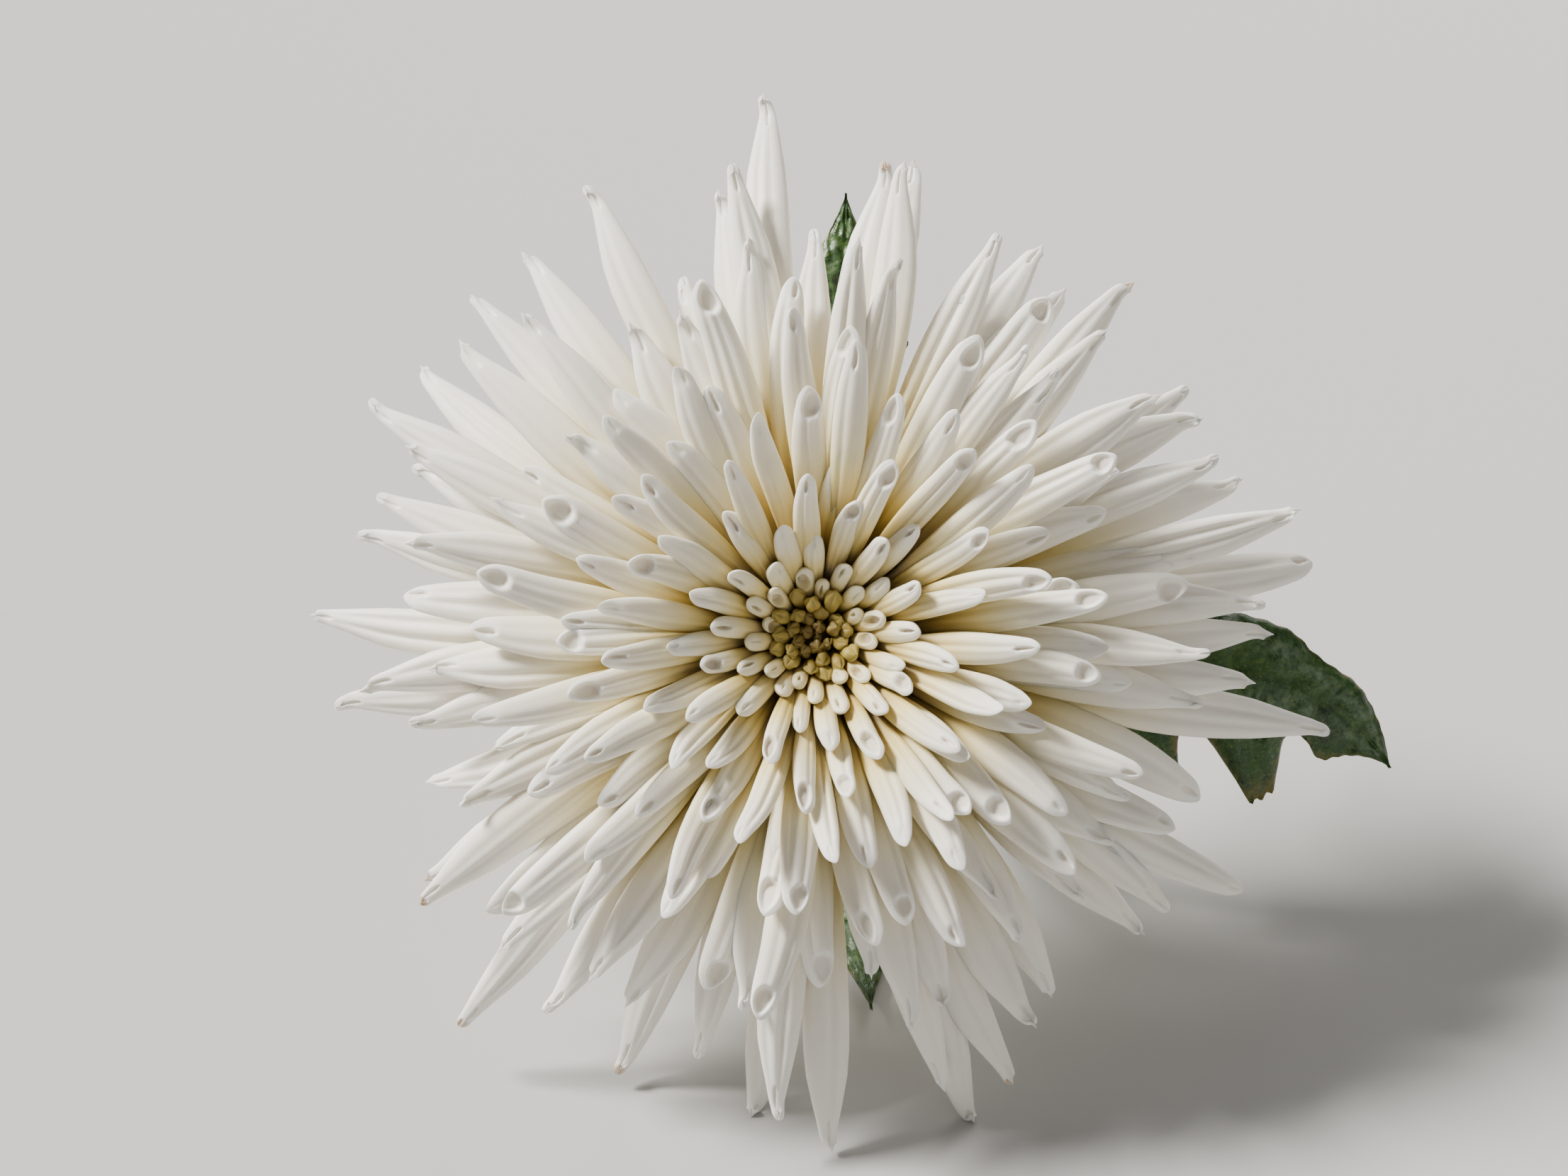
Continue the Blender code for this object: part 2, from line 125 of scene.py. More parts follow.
@dataclass(frozen=True)
class Lie:
    """How the bloom lies in the world.

    Attributes:
        head_at: the bloom's middle.
        face_tilt: the turn about X that leans the face back from straight up.
        settle: the depth over which a form eases onto the surface.
        clear: how far above the surface what would sink into it is kept.
    """

    head_at: tuple[float, float, float] = (-6.9 * MM, -20.5 * MM, 50.0 * MM)
    face_tilt: float = math.radians(45)
    settle: float = 2.0 * MM
    clear: float = 0.05 * MM

    def turn(self) -> Array:
        """The turn from the bloom's frame to the world's."""
        c, s = math.cos(self.face_tilt), math.sin(self.face_tilt)
        return np.array(((1, 0, 0), (0, c, -s), (0, s, c)), dtype=float)

    def place(self, points: Array) -> Array:
        """The bloom's own points, in the world."""
        return self.heading(points) + np.array(self.head_at)

    def heading(self, vectors: Array) -> Array:
        """Directions of the bloom's frame, in the world."""
        return vectors @ self.turn().T

    def settled(self, height: Values) -> Array:
        """Lays heights on the surface: those clear of it stay, and none ends below 0."""
        eased = (height + self.settle) ** 2 / (4 * self.settle)
        return np.where(height >= self.settle, height, np.where(height <= -self.settle, 0.0, eased))


LIE = Lie()


def turned(out: Array, up: Array, sides: int) -> Array:
    """A round form about the bloom's axis, in the world.

    Args:
        out: how far out from the axis each ring is.
        up: how far up the axis.
        sides: points round it.

    Returns:
        Points of shape (rings, sides, 3).
    """
    x, y = np.eye(3)[:2]
    out, phi = out[:, None], around(sides)
    return LIE.place(swept(UP * up[:, None], (x, out * np.cos(phi)), (y, out * np.sin(phi))))


@dataclass(frozen=True)
class Cell:
    """A part of the bake map that one tube or leaf keeps to itself."""

    column: int
    row: int
    columns: int
    rows: int
    margin: float = 0.03

    def fit(self, uv: Array) -> Array:
        """Coordinates from 0 to 1, moved into the cell.

        Args:
            uv: the coordinates.

        Returns:
            The coordinates on the bake map.
        """
        inner = self.margin + uv * (1 - 2 * self.margin)
        low = np.array((self.column, self.row), dtype=float)
        return (low + inner) / np.array((self.columns, self.rows), dtype=float)

    @staticmethod
    def grid(count: int, shape: float) -> list["Cell"]:
        """Cells for a number of pieces.

        Args:
            count: how many cells are needed.
            shape: how many times as tall as wide a cell should be.

        Returns:
            The cells, row by row.
        """
        rows = max(1, round(math.sqrt(count / shape)))
        columns = math.ceil(count / rows)
        return [Cell(i % columns, i // columns, columns, rows) for i in range(count)]


@dataclass
class MeshDraft:
    """The vertices, faces, map and surface values of one piece while it is built."""

    points: list[Array] = field(default_factory=list)
    faces: list[list[int]] = field(default_factory=list)
    corners: list[Array] = field(default_factory=list)
    values: dict[str, list[Array]] = field(default_factory=dict)
    count: int = 0
    cap: float = 0.03

    def _keep(self, points: Array, values: dict[str, Array]) -> int:
        """Stores vertices with their values.

        Args:
            points: the vertices.
            values: their surface values.

        Returns:
            The first one's number.
        """
        first = self.count
        self.points.append(points.reshape(-1, 3))
        for name, value in values.items():
            self.values.setdefault(name, []).append(np.reshape(value, -1))
        self.count += len(self.points[-1])
        return first

    def add_tube(self, rings: Array, values: dict[str, Values], cell: Cell) -> None:
        """Adds a closed tube.

        Args:
            rings: points of shape (rings, sides, 3), anticlockwise as seen from the tube's tip.
            values: the surface values, each one that spreads to the shape (rings, sides).
            cell: the tube's part of the bake map.
        """
        count, sides, _ = rings.shape
        values = {name: np.broadcast_to(value, (count, sides)) for name, value in values.items()}
        first = self._keep(rings, values)
        ends = np.stack((rings[0].mean(0), rings[-1].mean(0)))
        foot = self._keep(ends, {name: (v[0].mean(), v[-1].mean()) for name, v in values.items()})
        row, column = np.meshgrid(np.arange(count - 1), np.arange(sides), indexing="ij")
        after = (column + 1) % sides
        quads = np.stack((column, after, after + sides, column + sides), axis=-1) + row[..., None] * sides
        self.faces += (quads.reshape(-1, 4) + first).tolist()
        run = np.linalg.norm(np.diff(rings.mean(1), axis=0), axis=1)
        along = self.cap + (1 - 2 * self.cap) * np.concatenate(((0.0,), np.cumsum(run))) / run.sum()
        u = np.stack((column, column + 1, column + 1, column), axis=-1) / sides
        v = np.stack((along[row], along[row], along[row + 1], along[row + 1]), axis=-1)
        self.corners.append(cell.fit(np.stack((u, v), axis=-1).reshape(-1, 2)))
        turn = np.arange(sides)
        for end, ring, height, near, far in (
            (foot, 0, 0.0, turn + 1, turn),
            (foot + 1, count - 1, 1.0, turn, turn + 1),
        ):
            start = first + ring * sides
            fan = np.stack((np.full(sides, end), start + near % sides, start + far % sides), axis=-1)
            self.faces += fan.tolist()
            u = np.stack((turn + 0.5, near, far), axis=-1) / sides
            v = np.tile((height, along[ring], along[ring]), (sides, 1))
            self.corners.append(cell.fit(np.stack((u, v), axis=-1).reshape(-1, 2)))

    def mesh(self, name: str) -> bpy.types.Mesh:
        """Makes the mesh.

        Args:
            name: its name.

        Returns:
            The mesh, with its bake map and its surface values.
        """
        mesh = bpy.data.meshes.new(name)
        mesh.from_pydata(np.concatenate(self.points).tolist(), [], self.faces)
        layer = mesh.uv_layers.new(name=BAKE_MAP)
        layer.uv.foreach_set("vector", np.concatenate(self.corners).astype(np.float32).ravel())
        for key, value in self.values.items():
            made = mesh.attributes.new(key, "FLOAT", "POINT")
            made.data.foreach_set("value", np.concatenate(value).astype(np.float32))
        mesh.shade_smooth()
        mesh.update()
        return mesh


@dataclass
class Part:
    """A piece of the flower, made of closed tubes.

    Attributes:
        name: the piece's name.
        node: the solid that it stands for.
        slot: the record's slot for its finish; not used.
        cell_shape: how many times as tall as wide a tube's part of the bake map is.
    """

    name: str
    node: str
    slot: str
    cell_shape: ClassVar[float] = 1.0

    def tubes(self) -> list[Tube]:
        """The rings of each tube, with its surface values."""
        raise NotImplementedError

    def build(self, material: Material) -> bpy.types.Object:
        """Makes the piece and ties it to the frame.

        Args:
            material: what dresses it.

        Returns:
            The new object.
        """
        draft, tubes = MeshDraft(), self.tubes()
        for cell, (rings, values) in zip(Cell.grid(len(tubes), self.cell_shape), tubes):
            draft.add_tube(rings, values, cell)
        mesh = draft.mesh(self.name)
        mesh.materials.append(material)
        piece = stand(self.name, mesh)
        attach(piece, BODY)
        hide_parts(self.node)
        return piece


class Wiring:
    """Adds nodes to a tree and joins them, in short words."""

    def __init__(self, tree: Tree) -> None:
        """Takes the tree that the nodes go in."""
        self.tree = tree

    def give(self, socket: Socket, value: Feed) -> None:
        """Sets or links a socket.

        Args:
            socket: the socket that takes it.
            value: a value, or the socket that feeds it.
        """
        if isinstance(value, Socket):
            self.tree.links.new(value, socket)
        else:
            socket.default_value = value

    def add(self, kind: str, inputs: dict | None = None, **settings: object) -> Node:
        """Adds a node.

        Args:
            kind: the node's type, without its ShaderNode prefix.
            inputs: for each socket's name or number, a value or the socket that feeds it.
            settings: the node's own properties.

        Returns:
            The new node.
        """
        node = self.tree.nodes.new("ShaderNode" + kind)
        for key, value in settings.items():
            setattr(node, key, value)
        for key, value in (inputs or {}).items():
            self.give(node.inputs[key], value)
        return node

    def value(self, name: str) -> Socket:
        """A surface value that the mesh carries."""
        return self.add("Attribute", attribute_name=name).outputs["Fac"]

    def calc(self, operation: str, *terms: Feed) -> Socket:
        """The result of a Math node on numbers or sockets."""
        return self.add("Math", dict(enumerate(terms)), operation=operation).outputs[0]

    def times(self, first: Feed, second: Feed) -> Socket:
        """The product of two numbers or sockets."""
        return self.calc("MULTIPLY", first, second)

    def between(self, share: Feed, span: float, least: Feed) -> Socket:
        """A share stretched over a span above the least."""
        return self.calc("MULTIPLY_ADD", share, span, least)

    def bump(self, height: Feed, strength: float, distance: float) -> Socket:
        """A normal that leans with a height."""
        return self.add("Bump", {"Height": height, "Strength": strength, "Distance": distance}).outputs[0]

    def layered(self, base: Feed, *coats: tuple[Feed, Feed]) -> Socket:
        """Lays coats of colour over one another.

        Args:
            base: the lowest colour.
            coats: a share and a colour for each coat, from the lowest up.

        Returns:
            The colour that shows.
        """
        for share, colour in coats:
            base = self.add("Mix", {0: share, 6: base, 7: colour}, data_type="RGBA").outputs[2]
        return base

    def ramp(self, share: Feed, stops: Stops) -> Socket:
        """Reads a colour off a ramp.

        Args:
            share: a place from 0 to 1.
            stops: colours at places.

        Returns:
            The colour at that place.
        """
        node = self.add("ValToRGB", {0: share})
        band = node.color_ramp.elements
        while len(band) < len(stops):
            band.new(0.5)
        for element, (place, colour) in zip(band, stops):
            element.position = place
            element.color = (*colour, 1)
        return node.outputs[0]


class EffectGroups:
    """Shader node groups that several finishes share."""

    def __init__(self) -> None:
        """Builds every group once."""
        self.fibres, self.mottle, self.specks = self._fibres(), self._mottle(), self._specks()

    @staticmethod
    def _start(name: str, output: str, **inputs: Feed) -> tuple[Wiring, Node, Node]:
        """Makes a group with its sockets.

        Args:
            name: the group's name.
            output: the name of its one output.
            inputs: each input's starting value.

        Returns:
            The group's wiring, its input node and its output node.
        """
        group = bpy.data.node_groups.new(name, "ShaderNodeTree")
        for key, start in inputs.items():
            kind = "NodeSocketVector" if isinstance(start, tuple) else "NodeSocketFloat"
            group.interface.new_socket(name=key, in_out="INPUT", socket_type=kind).default_value = start
        group.interface.new_socket(name=output, in_out="OUTPUT", socket_type="NodeSocketFloat")
        return Wiring(group), group.nodes.new("NodeGroupInput"), group.nodes.new("NodeGroupOutput")

    def _fibres(self) -> Tree:
        """Fine veins that run lengthwise, from a coordinate across and one along."""
        w, start, end = self._start("fibres", "Ridge", Across=0.0, Along=0.0, Count=20.0, Seed=0.0)
        across, along, count, seed = start.outputs[:4]
        spread = w.between(seed, 57.0, w.times(across, count))
        point = w.add("CombineXYZ", {0: spread, 1: w.times(along, 2.6), 2: seed}).outputs[0]
        noise = w.add("TexNoise", {"Vector": point, "Scale": 1.0, "Detail": 2.0, "Roughness": 0.55})
        w.give(end.inputs[0], noise.outputs["Fac"])
        return w.tree

    def _mottle(self) -> Tree:
        """Soft uneven patches over an object."""
        w, start, end = self._start("mottle", "Patch", Vector=(0.0, 0.0, 0.0), Scale=100.0)
        where, scale = start.outputs[:2]
        noise = w.add("TexNoise", {"Vector": where, "Scale": scale, "Detail": 4.0, "Roughness": 0.6})
        spread = w.add("MapRange", {0: noise.outputs["Fac"], 1: 0.33, 2: 0.67})
        w.give(end.inputs[0], spread.outputs[0])
        return w.tree

    def _specks(self) -> Tree:
        """Small scattered spots, more of them where the threshold is higher."""
        w, start, end = self._start("specks", "Spot", Vector=(0.0, 0.0, 0.0), Scale=900.0, Threshold=0.1)
        where, scale, threshold = start.outputs[:3]
        near = w.add("TexVoronoi", {"Vector": where, "Scale": scale}).outputs["Distance"]
        edge = w.calc("ADD", threshold, 0.06)
        spot = w.add("MapRange", {0: near, 1: threshold, 2: edge, 3: 1.0, 4: 0.0})
        w.give(end.inputs[0], spot.outputs[0])
        return w.tree

    def ridges(self, w: Wiring, count: float, seed: Feed = 0.0) -> Socket:
        """The fibres on a tube, so many across it."""
        inputs = {"Across": w.value("across"), "Along": w.value("along"), "Count": count, "Seed": seed}
        return w.add("Group", inputs, node_tree=self.fibres).outputs[0]

    def patches(self, w: Wiring, scale: float) -> Socket:
        """The mottle over a piece, finer at a higher scale."""
        where = w.add("TexCoord").outputs["Object"]
        return w.add("Group", {"Vector": where, "Scale": scale}, node_tree=self.mottle).outputs[0]

    def spots(self, w: Wiring, scale: float, threshold: float) -> Socket:
        """The specks over a piece, finer at a higher scale."""
        inputs = {"Vector": w.add("TexCoord").outputs["Object"], "Scale": scale, "Threshold": threshold}
        return w.add("Group", inputs, node_tree=self.specks).outputs[0]


@dataclass(frozen=True)
class Finish:
    """A material of this scene.

    Attributes:
        groups: the effects that several finishes share.
        name: the material's name.
        ior: its index of refraction.
        glow: how much of the light passes through its skin.
        glow_reach: how far red, green and blue go in it, as shares of the depth.
        glow_depth: how deep the light goes.
    """

    groups: EffectGroups
    name: str = "plain"
    ior: float = 1.5
    glow: float = 0.0
    glow_reach: tuple = (1.0, 0.2, 0.1)
    glow_depth: float = 1.0 * MM

    def look(self, w: Wiring) -> tuple[Feed, ...]:
        """Gives the colour, the roughness and the normal, as each finish sets them."""
        raise NotImplementedError

    def build(self) -> Material:
        """Makes the material."""
        material = bpy.data.materials.new(self.name)
        material.use_nodes = True
        shader = material.node_tree.nodes["Principled BSDF"]
        w = Wiring(material.node_tree)
        sockets = {"Metallic": 0.0, "IOR": self.ior, "Subsurface Weight": self.glow}
        if self.glow > 0:
            sockets |= {"Subsurface Radius": self.glow_reach, "Subsurface Scale": self.glow_depth}
        sockets |= dict(zip(("Base Color", "Roughness", "Normal"), self.look(w)))
        for key, value in sockets.items():
            w.give(shader.inputs[key], value)
        return material


@dataclass(frozen=True)
class FloretFinish(Finish):
    """Thin white petal tissue that lets light through, yellow at its root; deep amber in the bloom's depths,
    partly painted shade, with painted shade inside the mouths and painted highlights on the tips and rims.
    """

    name: str = "floret white"
    ior: float = 1.42
    glow: float = 0.50
    glow_reach: tuple = (1.0, 0.90, 0.74)
    glow_depth: float = 0.9 * MM
    # From the deep amber of the roots, partly their yellow tissue and partly painted shade of the bloom's
    # depths, through the shafts' cream to the painted highlight of the tips and rims.
    stops: Stops = (
        (0.0, (0.19, 0.115, 0.008)), (0.16, (0.47, 0.325, 0.038)), (0.38, (0.74, 0.59, 0.20)),
        (0.62, (0.86, 0.79, 0.53)), (0.85, (0.885, 0.84, 0.735)), (1.0, (0.955, 0.93, 0.885)),
    )

    def look(self, w: Wiring) -> tuple[Feed, ...]:
        """How the surface looks.

        Args:
            w: the material's wiring.

        Returns:
            The colour, the roughness and the normal.
        """
        tint = w.value("tint")
        ridge, patch = self.groups.ridges(w, 26.0, tint), self.groups.patches(w, 700.0)
        colour = w.layered(
            w.ramp(w.value("paleness_and_highlight"), self.stops),
            (w.times(ridge, 0.16), (0.80, 0.76, 0.66, 1)),
            (w.times(tint, 0.16), (0.90, 0.86, 0.74, 1)),
            # Painted shade inside the mouths.
            (w.times(w.value("mouth"), 0.85), (0.44, 0.36, 0.25, 1)),
            (w.times(w.value("scorch"), w.between(patch, 0.7, 0.3)), (0.40, 0.22, 0.08, 1)),
        )
        return colour, w.between(ridge, 0.16, 0.38), w.bump(ridge, 0.35, 0.16 * MM)


@dataclass(frozen=True)
class BudFinish(Finish):
    """The yellow-green of florets that have not opened, dark brown towards their roots and in the very
    middle, partly their own colour and partly painted shade.
    """

    name: str = "bud yellow green"
    ior: float = 1.42
    glow: float = 0.25
    glow_reach: tuple = (0.9, 0.8, 0.3)
    # Dark brown at the roots, partly the buds' own colour and partly painted shade between them.
    stops: Stops = ((0.0, (0.045, 0.022, 0.002)), (0.55, (0.22, 0.14, 0.018)), (1.0, (0.46, 0.35, 0.09)))

    def look(self, w: Wiring) -> tuple[Feed, ...]:
        """How the surface looks.

        Args:
            w: the material's wiring.

        Returns:
            The colour, the roughness and the normal.
        """
        patch = self.groups.patches(w, 1600.0)
        colour = w.layered(
            w.ramp(w.value("along"), self.stops),
            (w.times(w.value("tint"), 0.4), (0.36, 0.30, 0.06, 1)),
            # Darker in the very middle of the bloom, partly own colour and partly painted shade.
            (w.times(w.value("core"), 0.75), (0.10, 0.055, 0.008, 1)),
        )
        return colour, w.between(patch, 0.2, 0.4), w.bump(patch, 0.3, 0.1 * MM)


@dataclass(frozen=True)
class LeafFinish(Finish):
    """A dark glossy leaf with paler veins and dry brown edges, paler below, with painted sheen: grey-green
    patches, and grey bands beside the midrib on its upper side.
    """

    name: str = "leaf green"
    ior: float = 1.46
    glow: float = 0.03
    glow_reach: tuple = (0.4, 0.9, 0.2)

    def look(self, w: Wiring) -> tuple[Feed, ...]:
        """How the surface looks.

        Args:
            w: the material's wiring.

        Returns:
            The colour, the roughness and the normal.
        """
        broad, fine, tiny = (self.groups.patches(w, scale) for scale in (130.0, 900.0, 2000.0))
        # Uneven breakup of the painted sheen bands.
        sheen_breakup = w.times(w.calc("POWER", fine, 1.3), w.between(broad, 1.3, 0.2))
        flecks = w.times(w.calc("POWER", tiny, 4.0), w.between(broad, 0.6, 0.15))
        spots = self.groups.spots(w, 1500.0, 0.10)
        colour = w.layered(
            (0.001, 0.009, 0.001, 1),
            (broad, (0.004, 0.055, 0.002, 1)),
            (w.times(fine, 0.5), (0.030, 0.110, 0.004, 1)),
            # Painted sheen: greyer green patches that lighten the leaf where its gloss would catch light.
            (w.times(broad, w.times(fine, 0.15)), (0.045, 0.080, 0.040, 1)),
            # Painted sheen: grey bands beside the midrib.
            (w.times(w.value("painted_sheen"), sheen_breakup), (0.145, 0.205, 0.135, 1)),
            (w.times(w.value("vein"), 0.55), (0.075, 0.15, 0.032, 1)),
            (w.value("under"), (0.10, 0.17, 0.075, 1)),
            (w.times(w.value("edge"), w.times(broad, fine)), (0.26, 0.15, 0.05, 1)),
            (flecks, (0.17, 0.21, 0.035, 1)),
            (w.times(spots, 0.35), (0.22, 0.24, 0.06, 1)),
        )
        return colour, w.between(fine, 0.22, 0.24), w.bump(fine, 0.35, 0.2 * MM)


@dataclass(frozen=True)
class StemFinish(Finish):
    """A ribbed green stem with pale lines, small pores and a pale cut end."""

    name: str = "stem green"
    ior: float = 1.45
    glow: float = 0.08
    glow_reach: tuple = (0.6, 0.9, 0.3)
    pith: Stops = (
        (0.0, (0.80, 0.78, 0.62)), (0.55, (0.74, 0.74, 0.50)),
        (0.72, (0.42, 0.50, 0.22)), (1.0, (0.20, 0.28, 0.09)),
    )

    def look(self, w: Wiring) -> tuple[Feed, ...]:
        """How the surface looks.

        Args:
            w: the material's wiring.

        Returns:
            The colour, the roughness and the normal.
        """
        patch, ridge = self.groups.patches(w, 240.0), self.groups.ridges(w, 60.0)
        pores = self.groups.spots(w, 700.0, 0.05)
        colour = w.layered(
            (0.085, 0.15, 0.035, 1),
            (w.value("rib"), (0.24, 0.33, 0.11, 1)),
            (w.times(ridge, 0.35), (0.30, 0.37, 0.16, 1)),
            (w.times(patch, 0.35), (0.15, 0.19, 0.06, 1)),
            (w.times(w.value("joint"), 0.4), (0.20, 0.13, 0.07, 1)),
            (w.times(pores, 0.4), (0.40, 0.42, 0.22, 1)),
            (w.value("cut"), w.ramp(w.value("pith"), self.pith)),
        )
        height = w.calc("ADD", w.times(ridge, 0.7), w.times(pores, 0.5))
        return colour, w.between(patch, 0.2, 0.42), w.bump(height, 0.5, 0.2 * MM)


@dataclass(frozen=True)
class CalyxFinish(Finish):
    """Dull green bracts with thin brown papery margins."""

    name: str = "calyx green"
    ior: float = 1.45

    def look(self, w: Wiring) -> tuple[Feed, ...]:
        """How the surface looks.

        Args:
            w: the material's wiring.

        Returns:
            The colour, the roughness and the normal.
        """
        patch, ridge = self.groups.patches(w, 500.0), self.groups.ridges(w, 22.0, w.value("tint"))
        colour = w.layered(
            (0.075, 0.135, 0.035, 1),
            (patch, (0.16, 0.24, 0.07, 1)),
            (w.times(ridge, 0.4), (0.22, 0.30, 0.12, 1)),
            (w.value("edge"), (0.42, 0.33, 0.18, 1)),
        )
        return colour, w.between(patch, 0.2, 0.5), w.bump(ridge, 0.5, 0.2 * MM)


@dataclass(frozen=True)
class FloorFinish(Finish):
    """A plain pale matt surface."""

    name: str = "pale surface"

    def look(self, w: Wiring) -> tuple[Feed, ...]:
        """How the surface looks, with no normal of its own."""
        return (0.46, 0.46, 0.455, 1), 0.85


class TipForm(Enum):
    """How the tip of a floret ends."""

    BUD = "bud"
    MOUTH = "mouth"
    SLIT = "slit"
    HOOD = "hood"
    TEETH = "teeth"


@dataclass(frozen=True)
class TipLook:
    """The measures of one form of tip.

    Attributes:
        flare: how much wider than the plain tube the end is.
        blunt: the length over which the end rounds off, in half widths.
        wide: half the mouth's width, in half widths of the tube.
        long: half the mouth's length in millimetres.
        slope: how far the upper side falls towards the end.
        depth: how deep the mouth is.
        lip: how high its rim stands, in millimetres.
        dark: how much shade is painted inside the mouth.
        hook: how much the very end hooks over.
        teeth: the length of the teeth in millimetres.
    """

    flare: float
    blunt: float
    wide: float
    long: float
    slope: float
    depth: float
    lip: float
    dark: float
    hook: float
    teeth: float


TIP_LOOKS = {
    TipForm.BUD: TipLook(0.0, 1.0, 0.22, 0.42, 0.15, 0.9, 0.05, 0.8, 0.0, 0.0),
    TipForm.MOUTH: TipLook(0.22, 1.9, 0.66, 1.75, 0.60, 0.72, 0.09, 0.16, 0.30, 0.0),
    TipForm.SLIT: TipLook(0.05, 1.9, 0.20, 1.35, 0.35, 0.55, 0.06, 0.14, 0.45, 0.0),
    TipForm.HOOD: TipLook(0.00, 2.1, 0.14, 1.10, 0.55, 0.20, 0.04, 0.0, 0.60, 0.0),
    TipForm.TEETH: TipLook(-0.30, 0.8, 0.20, 1.60, 0.25, 0.4, 0.04, 0.0, 1.0, 0.70),
}


@dataclass(frozen=True)
class Floret:
    """One floret's place and form, in the bloom's frame."""

    index: int
    root: Array
    tip: Array
    share: float
    width: float
    thickness: float
    roll: float
    bow: float
    sweep: float

    def opened(self) -> float:
        """0 for a floret that is still a bud, 1 for one that has opened."""
        return float(smooth(0.10, 0.35, self.share))

    def line(self, along: Array) -> Array:
        """The middle of the tube.

        Args:
            along: shares of its length.

        Returns:
            The points there.
        """
        run = self.tip - self.root
        length = np.linalg.norm(run)
        side = unit(np.cross(UP, run))
        rise = unit(np.cross(run, side))
        swell = (np.sin(math.pi * along) * length)[:, None]
        return self.root + run * along[:, None] + (rise * self.bow + side * self.sweep) * swell

    def girth(self, along: Array) -> Array:
        """How wide the tube is along its length.

        Args:
            along: shares of the length.

        Returns:
            Shares of the full width.
        """
        opened = self.opened()
        root = 0.62 - 0.42 * opened
        belly = 0.75 - 0.10 * opened
        tip = 0.62 - 0.26 * opened
        grown = root + (1 - root) * smooth(0, belly, along)
        closing = np.clip((along - belly) / (1 - belly), 0, 1) ** 2.4
        return grown * (1 - (1 - tip) * closing)


@dataclass(frozen=True)
class FloretRule:
    """The spiral that places every floret, the same as in the solid model."""

    florets: int = 258
    disc_buds: int = 28
    golden_angle: float = math.radians(137.508)
    rim_tilt: float = math.radians(101)
    seed: int = 7
    reaches: tuple = (
        (0.0, 10.7), (0.06, 12.2), (0.10, 13.4), (0.16, 16.4), (0.22, 22.0),
        (0.33, 34.0), (0.55, 45.5), (0.80, 57.5), (1.0, 69.0),
    )
    widths: tuple = ((0.0, 1.5), (0.10, 1.9), (0.16, 2.3), (0.24, 3.0), (0.40, 4.3), (0.70, 5.8), (1.0, 6.5))
    partings: tuple = (116, 70, 40, -17, -49, -84, -128, 172)
    parting_push: float = math.radians(2.6)
    parting_reach: float = math.radians(8.5)
    floret_root: float = 6.4 * MM
    bud_root: float = 7.6 * MM
    bud_gather: float = 0.74

    @staticmethod
    def towards(azimuth: float, tilt: float) -> Array:
        """The direction at a tilt from the bloom's axis."""
        out = math.sin(tilt)
        return np.array((out * math.cos(azimuth), out * math.sin(azimuth), math.cos(tilt)))

    def parted(self, azimuth: float, share: float) -> float:
        """Parts the florets towards the rim.

        Args:
            azimuth: a direction round the bloom.
            share: how far out in the spiral, from 0 to 1.

        Returns:
            The direction, pushed away from the partings.
        """
        moved = azimuth
        for degrees in self.partings:
            off = math.remainder(azimuth - math.radians(degrees), 2 * math.pi)
            near = math.exp(-((off / self.parting_reach) ** 2))
            moved += math.copysign(self.parting_push * 2 * near * share**2.5, off)
        return moved

    def floret(self, index: int) -> Floret:
        """Places one floret of the spiral.

        Args:
            index: its place in the spiral, from the middle out to the rim.

        Returns:
            The floret.
        """
        draw = random.Random(self.seed * 1000 + index)
        share = (index + 0.5) / self.florets
        tilt = math.acos(1 - share * (1 - math.cos(self.rim_tilt)))
        azimuth = index * self.golden_angle
        opened = float(smooth(0.10, 0.35, share))
        loose = math.radians(0.6 + 3.0 * opened)
        tip_azimuth = self.parted(azimuth, share) + draw.uniform(-loose, loose) / max(0.5, math.sin(tilt))
        tip_tilt = tilt + draw.uniform(-loose, loose)
        reach = read_off(self.reaches, share) * MM * (1 + draw.uniform(-0.14, 0.08) * (0.3 + 0.7 * opened))
        width = read_off(self.widths, share) * MM * (1 + draw.uniform(-0.10, 0.10))
        if index < self.disc_buds:
            root = self.towards(azimuth, tilt * self.bud_gather) * self.bud_root
        else:
            root = self.towards(azimuth, tilt) * self.floret_root
        return Floret(
            index=index,
            root=root,
            tip=self.towards(tip_azimuth, tip_tilt) * reach,
            share=share,
            width=width,
            thickness=width * (0.95 - 0.42 * opened),
            roll=math.radians(draw.uniform(-22, 22)) * opened,
            bow=0.035 + 0.075 * share + draw.uniform(-0.02, 0.03) * opened,
            sweep=draw.uniform(-0.035, 0.035) * opened,
        )


RULE = FloretRule()


